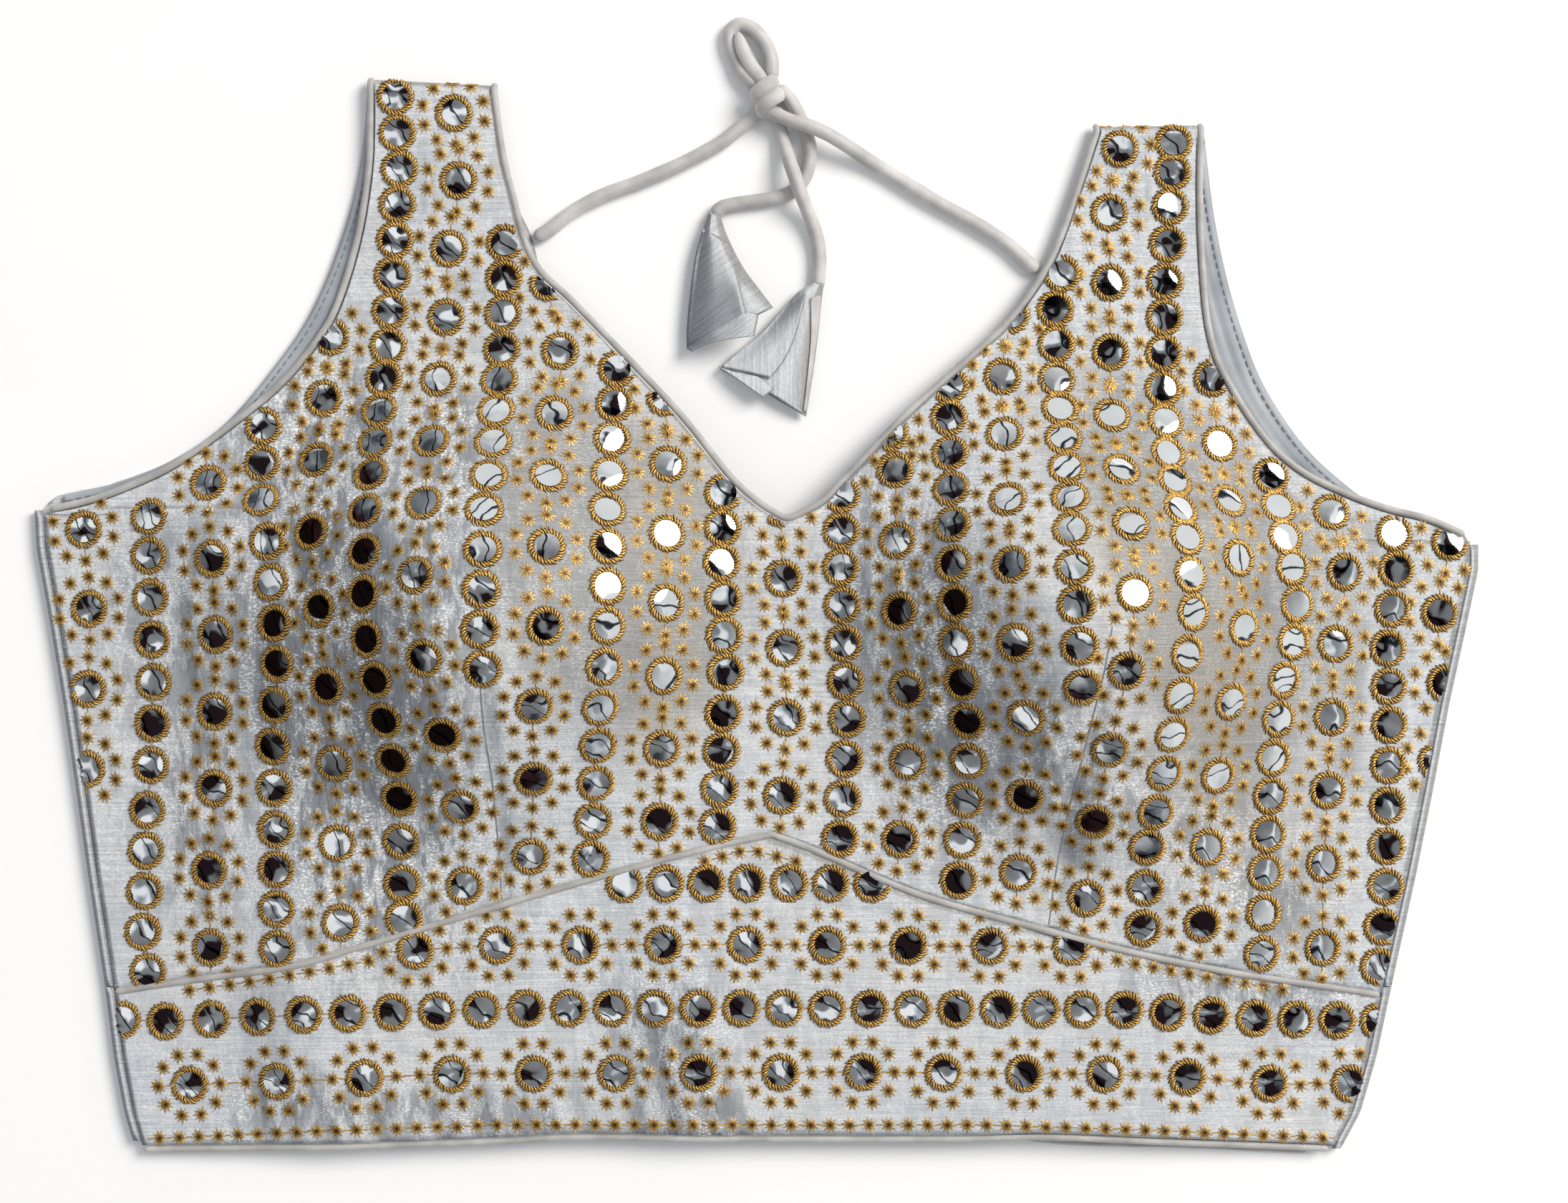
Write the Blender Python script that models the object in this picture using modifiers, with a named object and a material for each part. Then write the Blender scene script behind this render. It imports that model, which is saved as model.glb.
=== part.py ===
"""A choli blouse laid flat, front up, with its two doris tied in a bow behind the neck.

X runs to the right across the chest, Y runs up the garment and Z up from the surface it lies on.
The origin is under the middle of the garment. Sizes in the tables are in millimetres.
"""
import math
from collections import namedtuple

import bmesh
import bpy
from mathutils import Vector

MM = 0.001

# Thickness of the layers, from the surface upwards
BACK_WALL = 1.3
FACING_FLOOR = 1.6
FACING_WALL = 1.0
FRONT_WALL = 1.5
FRONT_TOP = 4.4
FOLD_RADIUS = 2.2
FOLD_LIP = 1.0
SEAM_GAP = 0.3

# Piping and cord sizes
PIPING_RADIUS = 1.1
SEAM_PIPING_RADIUS = 1.15
HEM_PIPING_RADIUS = 1.0
PIPING_DROP = 0.4
NECK_POINT_EASE = 0.6
CORD_RADIUS = 2.25
CORD_FLOOR = CORD_RADIUS
CORD_OVER = CORD_FLOOR + 2 * CORD_RADIUS + SEAM_GAP
FACING_WIDTH = 15.0

CENTRE_BACK_X = 2.3
BACK_SEAM_Y = -118.0

Point = namedtuple("Point", "x y")
Route = namedtuple("Route", "x y z")
Across = namedtuple("Across", "left_x left_y right_x right_y")
Cup = namedtuple("Cup", "x y rise left right up down")
Lift = namedtuple("Lift", "y rise")
Fold = namedtuple("Fold", "x0 y0 x1 y1 width rise")
Ring = namedtuple("Ring", "left_x left_y right_x right_y left_z right_z height")

# The sides from the underarm to the hem, one row for each section across the garment
SIDES = (
    Across(-230.6, 34.0, 230.6, 23.0),
    Across(-230.0, 22.0, 230.6, 15.0),
    Across(-226.0, 0.0, 226.8, -3.0),
    Across(-221.5, -27.0, 221.3, -28.0),
    Across(-217.5, -54.0, 216.2, -55.0),
    Across(-213.6, -82.0, 210.8, -82.0),
    Across(-208.4, -116.0, 203.3, -116.0),
    Across(-205.2, -141.0, 198.2, -140.0),
    Across(-202.0, -158.0, 193.0, -158.0),
    Across(-198.6, -169.4, 185.6, -171.8),
)

# Cut edges of the front, from the underarm or the bottom of the neck up to the shoulder
FRONT_ARMHOLE_LEFT = (
    Point(-227.1, 32.6), Point(-213.9, 35.4), Point(-201.5, 39.6), Point(-184.8, 47.4),
    Point(-163.6, 62.5), Point(-150.1, 74.0), Point(-138.5, 88.0), Point(-132.0, 100.0),
    Point(-125.8, 120.4), Point(-122.4, 141.0), Point(-121.7, 156.0), Point(-121.7, 169.4),
)
FRONT_ARMHOLE_RIGHT = (
    Point(227.1, 24.0), Point(214.0, 29.8), Point(202.2, 32.8), Point(190.3, 36.9),
    Point(176.1, 43.5), Point(165.6, 51.2), Point(157.2, 61.4), Point(150.5, 72.0),
    Point(145.4, 82.0), Point(142.3, 95.0), Point(140.6, 115.0), Point(140.0, 135.0),
    Point(140.3, 154.8),
)
NECK_LEFT = (
    Point(9.5, 29.5), Point(0.2, 35.0), Point(-9.8, 44.2), Point(-24.5, 62.6),
    Point(-41.5, 80.8), Point(-59.2, 99.1), Point(-69.8, 109.2), Point(-75.2, 119.5),
    Point(-78.5, 132.0), Point(-82.2, 147.0), Point(-85.1, 167.5),
)
NECK_RIGHT = (
    Point(9.5, 29.5), Point(20.9, 35.0), Point(30.3, 44.3), Point(47.8, 62.6),
    Point(68.0, 80.7), Point(79.2, 90.8), Point(86.8, 100.0), Point(92.8, 109.0),
    Point(97.4, 118.3), Point(104.0, 136.7), Point(109.8, 154.2),
)

# Edges of the back: its armholes show beyond the front's, its neck is hidden below the front
BACK_ARMHOLE_LEFT = (
    Point(-228.4, 34.0), Point(-224.0, 38.6), Point(-214.1, 40.8), Point(-204.9, 43.1),
    Point(-186.7, 50.4), Point(-168.4, 63.4), Point(-150.1, 85.6), Point(-140.9, 100.7),
    Point(-133.4, 119.2), Point(-128.1, 137.5), Point(-125.4, 155.8), Point(-124.6, 168.1),
)
BACK_ARMHOLE_RIGHT = (
    Point(228.4, 23.0), Point(224.8, 28.0), Point(215.7, 31.4), Point(197.4, 36.7),
    Point(188.3, 42.4), Point(174.8, 55.2), Point(162.6, 73.5), Point(155.3, 91.8),
    Point(150.1, 110.1), Point(146.4, 128.4), Point(144.1, 146.6), Point(143.4, 153.4),
)
BACK_NECK_LEFT = (
    Point(2.3, -42.0), Point(-20.0, -36.0), Point(-42.0, -10.0), Point(-54.0, 25.0),
    Point(-61.5, 62.0), Point(-67.8, 100.0), Point(-71.4, 120.0), Point(-77.6, 134.0),
    Point(-82.0, 150.0), Point(-84.6, 166.2),
)
BACK_NECK_RIGHT = (
    Point(2.3, -42.0), Point(26.0, -36.0), Point(50.0, -10.0), Point(64.0, 25.0),
    Point(74.0, 62.0), Point(83.0, 92.0), Point(90.6, 109.0), Point(98.0, 120.0),
    Point(104.6, 137.5), Point(109.0, 152.6),
)

# The seam under the bust, the front's hem and the back's hem, left to right
UNDERBUST_SEAM = (
    Point(-204.6, -119.5), Point(-177.7, -115.3), Point(-147.3, -110.6), Point(-126.8, -104.8),
    Point(-86.1, -92.7), Point(-40.6, -79.6), Point(-12.0, -72.2), Point(5.1, -68.7),
    Point(18.0, -73.4), Point(51.1, -87.5), Point(86.3, -97.6), Point(116.9, -105.5),
    Point(147.6, -112.0), Point(178.2, -117.2), Point(198.9, -120.5),
)
FRONT_HEM = (
    Point(-195.6, -168.4), Point(-166.1, -167.9), Point(-131.1, -167.0), Point(-81.5, -165.2),
    Point(-58.6, -164.0), Point(-12.9, -164.4), Point(60.0, -164.6), Point(93.4, -164.0),
    Point(137.0, -166.0), Point(182.6, -168.2),
)
BACK_HEM = (
    Point(-198.4, -169.8), Point(-180.0, -167.9), Point(-104.0, -165.4), Point(-13.0, -164.4),
    Point(60.0, -165.4), Point(100.0, -168.9), Point(140.0, -170.0), Point(185.6, -172.2),
)

# The form of the front above the layers below it: soft lift at mid-width, two padded cups and
# the largest folds
LIFTS = (
    Lift(-172.0, 3.0), Lift(-142.0, 5.0), Lift(-118.0, 6.5), Lift(-75.0, 8.0), Lift(-20.0, 9.0),
    Lift(30.0, 8.0), Lift(80.0, 4.0), Lift(120.0, 1.0), Lift(150.0, 0.0), Lift(180.0, 0.0),
)
LIFT_FADE = 80.0
CUPS = (
    Cup(x=-90.0, y=2.0, rise=29.0, left=78.0, right=98.0, up=84.0, down=90.0),
    Cup(x=105.0, y=-1.0, rise=29.0, left=94.0, right=78.0, up=86.0, down=90.0),
)
FOLDS = (
    Fold(-166.0, 23.0, -146.0, -32.0, 15.0, 1.8),
    Fold(-26.0, -92.0, -20.0, -158.0, 14.0, 1.6),
    Fold(-146.0, -122.0, -134.0, -162.0, 14.0, 1.4),
    Fold(112.0, -62.0, 156.0, -98.0, 15.0, 1.8),
    Fold(-70.0, 92.0, -82.0, 42.0, 14.0, 1.4),
)

# Routes of the cord, a tube of the blouse's own silk
DORI_LEFT_ROUTE = (
    Route(-71.0, 121.0, CORD_FLOOR), Route(-66.6, 123.4, CORD_FLOOR),
    Route(-58.6, 129.6, CORD_FLOOR), Route(-48.6, 134.9, CORD_FLOOR),
    Route(-36.0, 139.6, CORD_FLOOR), Route(-24.0, 144.8, CORD_FLOOR),
    Route(-12.2, 151.0, CORD_FLOOR), Route(-6.4, 155.4, CORD_FLOOR),
    Route(0.0, 160.3, CORD_FLOOR),
)
DORI_RIGHT_ROUTE = (
    Route(90.2, 110.4, CORD_FLOOR), Route(86.6, 113.4, CORD_FLOOR),
    Route(79.9, 119.4, CORD_FLOOR), Route(69.6, 126.0, CORD_FLOOR),
    Route(57.5, 132.6, CORD_FLOOR), Route(44.0, 140.8, CORD_FLOOR),
    Route(36.0, 145.6, CORD_FLOOR + 0.6), Route(29.6, 149.4, CORD_OVER - 1.6),
    Route(22.6, 153.4, CORD_OVER), Route(16.6, 156.0, CORD_OVER),
    Route(10.4, 158.0, CORD_OVER - 0.2), Route(2.0, 161.8, CORD_OVER - 0.6),
)
LOOP_ROUTE = (
    Route(4.2, 168.0, CORD_FLOOR + 2.0), Route(4.9, 173.6, CORD_FLOOR + 1.2),
    Route(4.7, 178.6, CORD_FLOOR + 0.2),
    Route(2.8, 183.4, CORD_FLOOR), Route(-1.0, 187.8, CORD_FLOOR),
    Route(-5.4, 189.3, CORD_FLOOR), Route(-8.4, 186.8, CORD_FLOOR),
    Route(-8.2, 182.2, CORD_FLOOR), Route(-6.4, 177.4, CORD_FLOOR),
    Route(-3.9, 173.2, CORD_FLOOR + 1.0), Route(0.6, 168.6, CORD_FLOOR + 2.0),
)
TAIL_LEFT_ROUTE = (
    Route(10.2, 166.4, CORD_FLOOR), Route(13.2, 161.0, CORD_FLOOR), Route(15.4, 156.0, CORD_FLOOR),
    Route(16.9, 150.6, CORD_FLOOR), Route(16.8, 145.0, CORD_FLOOR),
    Route(15.2, 140.0, CORD_FLOOR), Route(12.0, 136.2, CORD_FLOOR),
    Route(6.3, 133.9, CORD_FLOOR), Route(-0.6, 132.8, CORD_FLOOR),
    Route(-6.6, 132.0, CORD_FLOOR), Route(-11.4, 130.8, CORD_FLOOR),
)
TAIL_RIGHT_ROUTE = (
    Route(6.2, 163.0, CORD_FLOOR), Route(7.9, 154.8, CORD_FLOOR),
    Route(9.2, 149.6, CORD_FLOOR + 1.4), Route(10.7, 144.6, CORD_OVER - 1.0),
    Route(12.4, 139.6, CORD_OVER + 0.3), Route(14.0, 134.8, CORD_OVER + 0.3),
    Route(16.2, 129.6, CORD_OVER - 2.4), Route(18.4, 124.2, CORD_FLOOR + 0.7),
    Route(19.8, 118.6, CORD_FLOOR), Route(20.2, 113.0, CORD_FLOOR),
    Route(19.8, 107.0, CORD_FLOOR),
)
INNER_STRAND_ROUTE = (
    Route(-4.2, 184.0, CORD_FLOOR + 2.7), Route(-3.6, 181.6, CORD_FLOOR + 2.7),
    Route(-2.2, 177.8, CORD_FLOOR + 2.8), Route(0.0, 174.0, CORD_FLOOR + 3.6),
    Route(1.6, 171.0, CORD_FLOOR + 4.0),
)
KNOT_CENTRE = Route(3.4, 165.8, 5.8)
KNOT_TURNS = 2.0
KNOT_WRAP_RADIUS = 3.4
KNOT_PITCH = 4.8
KNOT_TILT = math.radians(115.0)
CORD_STEP = 4.8

# Latkans: flat cones of folded silk, one row for each section from the cord to the open mouth
LATKAN_LEFT_RINGS = (
    Ring(-15.4, 129.0, -11.6, 128.4, 0.4, 0.4, 4.6),
    Ring(-17.2, 123.0, -9.2, 121.4, 0.3, 0.6, 5.6),
    Ring(-18.9, 113.0, -4.6, 112.0, 0.2, 2.4, 6.2),
    Ring(-20.8, 101.0, 0.6, 104.4, 0.2, 5.6, 6.4),
    Ring(-22.3, 86.4, 5.4, 98.0, 0.2, 7.0, 6.4),
)
LATKAN_RIGHT_RINGS = (
    Ring(18.0, 106.6, 21.6, 106.4, 0.4, 0.4, 4.6),
    Ring(13.0, 103.4, 20.8, 101.0, 0.3, 0.3, 5.0),
    Ring(7.6, 97.0, 19.9, 92.0, 0.2, 0.2, 4.8),
    Ring(0.4, 88.6, 18.4, 80.0, 0.2, 0.2, 4.6),
    Ring(-10.0, 79.6, 15.9, 64.0, 0.2, 0.2, 4.4),
)
LATKAN_WALL = 1.0


def smooth(t):
    """Ease from 0 to 1."""
    t = min(max(t, 0.0), 1.0)
    return t * t * (3.0 - 2.0 * t)


def table_value(rows, key, column, at):
    """Read a table column between its rows, which rise in the key column."""
    for low, high in zip(rows, rows[1:]):
        if at <= getattr(high, key):
            break
    span = getattr(high, key) - getattr(low, key)
    t = min(max((at - getattr(low, key)) / span, 0.0), 1.0)
    return getattr(low, column) + (getattr(high, column) - getattr(low, column)) * t


def spline(points, count):
    """A smooth curve through the points, as count + 1 points spaced evenly along it."""
    knots = [Vector(point) for point in points]
    knots = [2 * knots[0] - knots[1]] + knots + [2 * knots[-1] - knots[-2]]
    fine = []
    steps = 12
    for a, b, c, d in zip(knots, knots[1:], knots[2:], knots[3:]):
        for step in range(steps):
            t = step / steps
            fine.append(0.5 * (2 * b + (c - a) * t + (2 * a - 5 * b + 4 * c - d) * t ** 2
                               + (3 * b - a - 3 * c + d) * t ** 3))
    fine.append(knots[-2])
    lengths = [0.0]
    for a, b in zip(fine, fine[1:]):
        lengths.append(lengths[-1] + (b - a).length)
    result = []
    place = 0
    for index in range(count + 1):
        target = lengths[-1] * index / count
        while place < len(fine) - 2 and lengths[place + 1] < target:
            place += 1
        t = (target - lengths[place]) / (lengths[place + 1] - lengths[place])
        result.append(fine[place].lerp(fine[place + 1], min(t, 1.0)))
    return result


def offset(points, distance):
    """Move a flat curve sideways, to its left for a positive distance."""
    moved = []
    for index, point in enumerate(points):
        before = points[max(index - 1, 0)]
        after = points[min(index + 1, len(points) - 1)]
        incoming = (point - before).normalized() if point != before else None
        outgoing = (after - point).normalized() if after != point else None
        incoming = incoming or outgoing
        outgoing = outgoing or incoming
        along = (incoming + outgoing).normalized()
        mitre = 1.0 / max(along.dot(incoming), 0.7)
        moved.append(point + Vector((-along.y, along.x)) * distance * mitre)
    return moved


def left_limit(y):
    """X of the front's left edge, side or armhole, at a height on the garment."""
    rows = [Point(row.left_x + FOLD_RADIUS + FOLD_LIP, row.left_y) for row in reversed(SIDES)]
    return table_value(rows + list(FRONT_ARMHOLE_LEFT[1:]), "y", "x", y)


def right_limit(y):
    """X of the front's right edge, side or armhole, at a height on the garment."""
    rows = [Point(row.right_x - FOLD_RADIUS - FOLD_LIP, row.right_y) for row in reversed(SIDES)]
    return table_value(rows + list(FRONT_ARMHOLE_RIGHT[1:]), "y", "x", y)


def front_height(x, y):
    """Height of the front's outer face over the surface that the blouse lies on."""
    inside = min(x - left_limit(y), right_limit(y) - x)
    fade = smooth(inside / LIFT_FADE)
    height = FRONT_TOP + fade * table_value(LIFTS, "y", "rise", y)
    for cup in CUPS:
        across = (x - cup.x) / (cup.right if x > cup.x else cup.left)
        along = (y - cup.y) / (cup.up if y > cup.y else cup.down)
        reach = min(math.hypot(across, along), 1.0)
        height += cup.rise * (0.5 + 0.5 * math.cos(math.pi * reach))
    for fold in FOLDS:
        start = Vector((fold.x0, fold.y0))
        run = Vector((fold.x1, fold.y1)) - start
        reach = Vector((x, y)) - start
        t = min(max(reach.dot(run) / run.length_squared, 0.0), 1.0)
        away = (reach - run * t).length / fold.width
        height += fold.rise * smooth(inside / (2 * fold.width)) * math.exp(-away * away)
    return height


def on_front(point):
    """Lift a flat point onto the front's outer face."""
    return Vector((point.x, point.y, front_height(point.x, point.y)))


def silk(name, colour, roughness):
    """A fabric material with a little of dupion silk's sheen."""
    material = bpy.data.materials.new(name)
    material.use_nodes = True
    shader = material.node_tree.nodes["Principled BSDF"]
    shader.inputs["Base Color"].default_value = (*colour, 1.0)
    shader.inputs["Roughness"].default_value = roughness
    shader.inputs["Metallic"].default_value = 0.0
    shader.inputs["Sheen Weight"].default_value = 0.3
    return material


def collection():
    """The collection that holds every piece of the blouse."""
    found = bpy.data.collections.get("choli_blouse")
    if found is None:
        found = bpy.data.collections.new("choli_blouse")
        bpy.context.scene.collection.children.link(found)
    return found


def cloth(name, grids, wall, material, flip=False):
    """A cloth panel: grids of outer points in millimetres, welded and given a wall inside them."""
    mesh = bmesh.new()
    for grid in grids:
        rows = [[mesh.verts.new(Vector(point) * MM) for point in row] for row in grid]
        for low, high in zip(rows, rows[1:]):
            for a, b, c, d in zip(low, low[1:], high[1:], high):
                mesh.faces.new((a, d, c, b) if flip else (a, b, c, d))
    bmesh.ops.remove_doubles(mesh, verts=mesh.verts, dist=0.05 * MM)
    data = bpy.data.meshes.new(name)
    mesh.to_mesh(data)
    mesh.free()
    data.materials.append(material)
    data.shade_smooth()
    piece = bpy.data.objects.new(name, data)
    collection().objects.link(piece)
    solidify = piece.modifiers.new("wall", "SOLIDIFY")
    solidify.thickness = wall * MM
    solidify.offset = -1.0
    return piece


def tube(name, points, radius, material, sides=8):
    """A round cord along points in millimetres, with filled ends."""
    data = bpy.data.curves.new(name, "CURVE")
    data.dimensions = "3D"
    data.bevel_depth = radius * MM
    data.bevel_resolution = (sides - 4) // 2
    data.use_fill_caps = True
    spline_data = data.splines.new("POLY")
    spline_data.points.add(len(points) - 1)
    for knot, point in zip(spline_data.points, points):
        knot.co = (*(Vector(point) * MM), 1.0)
    data.materials.append(material)
    piece = bpy.data.objects.new(name, data)
    collection().objects.link(piece)
    return piece


def shoulder_fold(row):
    """Rows that carry the top of a front strap over the shoulder and back underneath."""
    along = (row[-1] - row[0]).normalized()
    outward = Vector((-along.y, along.x, 0.0))
    if outward.y < 0:
        outward = -outward
    rows = []
    for angle in (60, 30, 0, -30, -60, -90):
        turn = math.radians(angle)
        shift = outward * FOLD_RADIUS * math.cos(turn)
        shift.z = FOLD_RADIUS * (math.sin(turn) - 1.0)
        rows.append([point + shift for point in row])
    rows.append([point - outward * FOLD_LIP for point in rows[-1]])
    return rows


def strap_rows(armhole, neck, rows, columns):
    """Sections across a front strap, from the chest line up to the shoulder."""
    arm_points = spline(armhole, rows)
    neck_points = spline(neck, rows)
    grid = []
    for arm_point, neck_point in zip(arm_points, neck_points):
        grid.append([on_front(arm_point.lerp(neck_point, column / columns))
                     for column in range(columns + 1)])
    return grid


def split_spline(points, middle, count):
    """Twice count steps along a curve, with a point on the row numbered middle."""
    return spline(points[:middle + 1], count)[:-1] + spline(points[middle:], count)


CENTRE_SEAM_ROW = 7
HALF_COLUMNS = 18
BODICE_ROWS = 11
STRAP_ROWS = 17
BAND_ROWS = 4


def side_point(y, side):
    """The front's side edge at a height, just inside the back's fold."""
    edge_x = table_value(SIDES[::-1], side + "_y", side + "_x", y)
    inward = FOLD_RADIUS + FOLD_LIP + SEAM_GAP
    return Point(edge_x + (inward if side == "left" else -inward), y)


def meet_sides(line):
    """Stretch a row of the front near its ends, so that it meets the back's folds at the sides."""
    move_left = side_point(line[0].y, "left").x - line[0].x
    move_right = side_point(line[-1].y, "right").x - line[-1].x
    last = len(line) - 1
    return [Vector((point.x + move_left * max(1 - 4 * column / last, 0)
                    + move_right * max(4 * column / last - 3, 0), point.y))
            for column, point in enumerate(line)]


def front_bodice(material):
    """The front with its cups: one cloth from the seam under the bust to both shoulders."""
    seam = offset(split_spline(UNDERBUST_SEAM, CENTRE_SEAM_ROW, HALF_COLUMNS),
                  SEAM_PIPING_RADIUS + SEAM_GAP)
    chest = ([Vector(FRONT_ARMHOLE_LEFT[0]).lerp(Vector(NECK_LEFT[0]), step / HALF_COLUMNS)
              for step in range(HALF_COLUMNS)]
             + [Vector(NECK_RIGHT[0]).lerp(Vector(FRONT_ARMHOLE_RIGHT[0]), step / HALF_COLUMNS)
                for step in range(HALF_COLUMNS + 1)])
    grid = []
    for row in range(BODICE_ROWS + 1):
        line = [low.lerp(high, row / BODICE_ROWS) for low, high in zip(seam, chest)]
        grid.append([on_front(point) for point in meet_sides(line)])
    left = strap_rows(FRONT_ARMHOLE_LEFT, NECK_LEFT, STRAP_ROWS, HALF_COLUMNS)
    right = strap_rows(NECK_RIGHT, FRONT_ARMHOLE_RIGHT, STRAP_ROWS, HALF_COLUMNS)
    left += shoulder_fold(left[-1])
    right += shoulder_fold(right[-1])
    return cloth("front_bodice", (grid, left, right), FRONT_WALL, material)


def front_band(material):
    """The waistband of the front, from the seam under the bust to the hem."""
    top = offset(split_spline(UNDERBUST_SEAM, CENTRE_SEAM_ROW, HALF_COLUMNS),
                 -SEAM_PIPING_RADIUS - SEAM_GAP)
    hem = spline(FRONT_HEM, 2 * HALF_COLUMNS)
    grid = []
    for row in range(BAND_ROWS + 1):
        line = [low.lerp(high, row / BAND_ROWS) for low, high in zip(hem, top)]
        grid.append([on_front(point) for point in meet_sides(line)])
    return cloth("front_band", (grid,), FRONT_WALL, material)


def side_fold(y, side):
    """Columns that carry a row of the back up round the side and in over the front's edge."""
    inward = 1.0 if side == "left" else -1.0
    edge_x = table_value(SIDES[::-1], side + "_y", side + "_x", y)
    centre = Vector((edge_x + inward * FOLD_RADIUS, y, FOLD_RADIUS))
    columns = [centre + Vector((inward * FOLD_LIP, 0.0, FOLD_RADIUS))]
    for angle in (90, 60, 30, 0, -30, -60, -90):
        turn = math.radians(angle)
        columns.append(centre + Vector((-inward * math.cos(turn), 0.0, math.sin(turn)))
                       * FOLD_RADIUS)
    return columns


def panel_row(side, side_y, inner, columns):
    """One row of a back panel: its side fold, then flat cloth to its inner edge."""
    row = side_fold(side_y, side)
    foot = row[-1]
    end = Vector((inner.x, inner.y, 0.0))
    row += [foot.lerp(end, step / columns) for step in range(1, columns + 1)]
    return row


SideHeight = namedtuple("SideHeight", "row left right")
SIDE_HEIGHTS = (
    SideHeight(0, UNDERBUST_SEAM[0].y, UNDERBUST_SEAM[-1].y),
    SideHeight(BODICE_ROWS, FRONT_ARMHOLE_LEFT[0].y, FRONT_ARMHOLE_RIGHT[0].y),
)
BACK_COLUMNS = 7
BACK_STRAP_ROWS = 12


def back_bodice(side, material):
    """One half of the back, edge to edge with the other at the centre, deep below the neck."""
    left = side == "left"
    armhole = BACK_ARMHOLE_LEFT if left else BACK_ARMHOLE_RIGHT
    neck = BACK_NECK_LEFT if left else BACK_NECK_RIGHT
    apart = Vector((-SEAM_GAP / 2 if left else SEAM_GAP / 2, 0.0))
    split = 3
    centre = [Point(CENTRE_BACK_X, BACK_SEAM_Y + SEAM_GAP), neck[0]]
    centre_rows = BODICE_ROWS // 2
    inner = (spline(centre, centre_rows)[:-1]
             + spline(neck[:split + 1], BODICE_ROWS - centre_rows))
    heights = [table_value(SIDE_HEIGHTS, "row", side, row) for row in range(BODICE_ROWS + 1)]
    heights[0] = BACK_SEAM_Y + SEAM_GAP
    heights[-1] = armhole[0].y
    lower = [panel_row(side, y, point + apart, BACK_COLUMNS) for y, point in zip(heights, inner)]
    upper = []
    arm_points = spline(armhole, BACK_STRAP_ROWS)
    neck_points = [point + apart for point in spline(neck[split:], BACK_STRAP_ROWS)]
    for arm_point, neck_point in zip(arm_points, neck_points):
        upper.append([(*arm_point.lerp(neck_point, step / BACK_COLUMNS), 0.0)
                      for step in range(BACK_COLUMNS + 1)])
    return cloth("back_bodice_" + side, (lower, upper), BACK_WALL, material, flip=left)


def back_hem_edge(side, count):
    """The cut edge of the back's hem, above its binding."""
    inset = 2 * PIPING_RADIUS + 2 * SEAM_GAP
    edge = offset(spline(BACK_HEM, 64), inset)
    edge = [point for point in edge if (point.x < CENTRE_BACK_X) == (side == "left")]
    edge.sort(key=lambda point: abs(point.x - CENTRE_BACK_X), reverse=True)
    return spline([tuple(point) for point in edge], count)


BACK_BAND_COLUMNS = 10


def back_band(side, material):
    """One half of the back's waistband."""
    left = side == "left"
    start = CENTRE_BACK_X - SEAM_GAP / 2 if left else CENTRE_BACK_X + SEAM_GAP / 2
    edge = back_hem_edge(side, BACK_BAND_COLUMNS)
    bottom_side_y = edge[0].y
    grid = []
    for row in range(BAND_ROWS + 1):
        t = row / BAND_ROWS
        y = bottom_side_y + (BACK_SEAM_Y - bottom_side_y) * t
        fold = side_fold(y, side)
        foot = fold[-1]
        line = []
        for column in range(1, BACK_BAND_COLUMNS + 1):
            u = column / BACK_BAND_COLUMNS
            x = foot.x + (start - foot.x) * u
            hem_y = table_value(sorted(edge, key=lambda p: p.x), "x", "y", x)
            line.append(Vector((x, hem_y + (BACK_SEAM_Y - hem_y) * t, 0.0)))
        grid.append(fold + line)
    return cloth("back_band_" + side, (grid,), BACK_WALL, material, flip=left)


def facing(side, material):
    """The lining-faced strip inside the back's armhole, which shows beyond the front."""
    left = side == "left"
    armhole = BACK_ARMHOLE_LEFT if left else BACK_ARMHOLE_RIGHT
    outer = spline(armhole[1:], 22)[1:-1]
    outer = offset(outer, -SEAM_GAP if left else SEAM_GAP)
    inner = offset(outer, -FACING_WIDTH if left else FACING_WIDTH)
    middle = offset(outer, -FACING_WIDTH / 2 if left else FACING_WIDTH / 2)
    top = FACING_FLOOR + FACING_WALL
    grid = [[(*point, top) for point in line] for line in (inner, middle, outer)]
    return cloth("back_armhole_facing_" + side, (grid,), FACING_WALL, material,
                 flip=not left)


def over_shoulder(points):
    """A piping's line with two more points, which take it over the fold of the shoulder."""
    radius = FOLD_RADIUS - PIPING_DROP
    turns = [math.radians(angle) for angle in (45, 0)]
    return points + [points[-1] + radius * Vector((0.0, math.cos(turn), math.sin(turn) - 1.0))
                     for turn in turns]


def piping_line(edge, distance):
    """The line of a piping that lies outside a cut edge of the front."""
    return [Vector((*point, front_height(point.x, point.y) - PIPING_DROP))
            for point in offset(edge, distance)]


def armhole_piping(side, material):
    """Piping on the front's armhole, from the underarm to the shoulder."""
    left = side == "left"
    armhole = FRONT_ARMHOLE_LEFT if left else FRONT_ARMHOLE_RIGHT
    edge = spline(armhole, 56)[1:]
    away = SEAM_GAP + PIPING_RADIUS
    line = piping_line(edge, away if left else -away)
    line = over_shoulder(line[::2])
    return tube("armhole_piping_" + side, line, PIPING_RADIUS, material)


def neck_piping(material):
    """Piping round the neck, in one length from shoulder to shoulder."""
    away = SEAM_GAP + PIPING_RADIUS
    left = piping_line(spline(NECK_LEFT, 42), -away)
    right = piping_line(spline(NECK_RIGHT, 42), away)
    bottom = (left[0] + right[0]) / 2 + Vector((0.0, NECK_POINT_EASE, 0.0))
    left = over_shoulder(left[2::2])
    right = over_shoulder(right[2::2])
    return tube("neck_piping", left[::-1] + [bottom] + right, PIPING_RADIUS, material)


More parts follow.
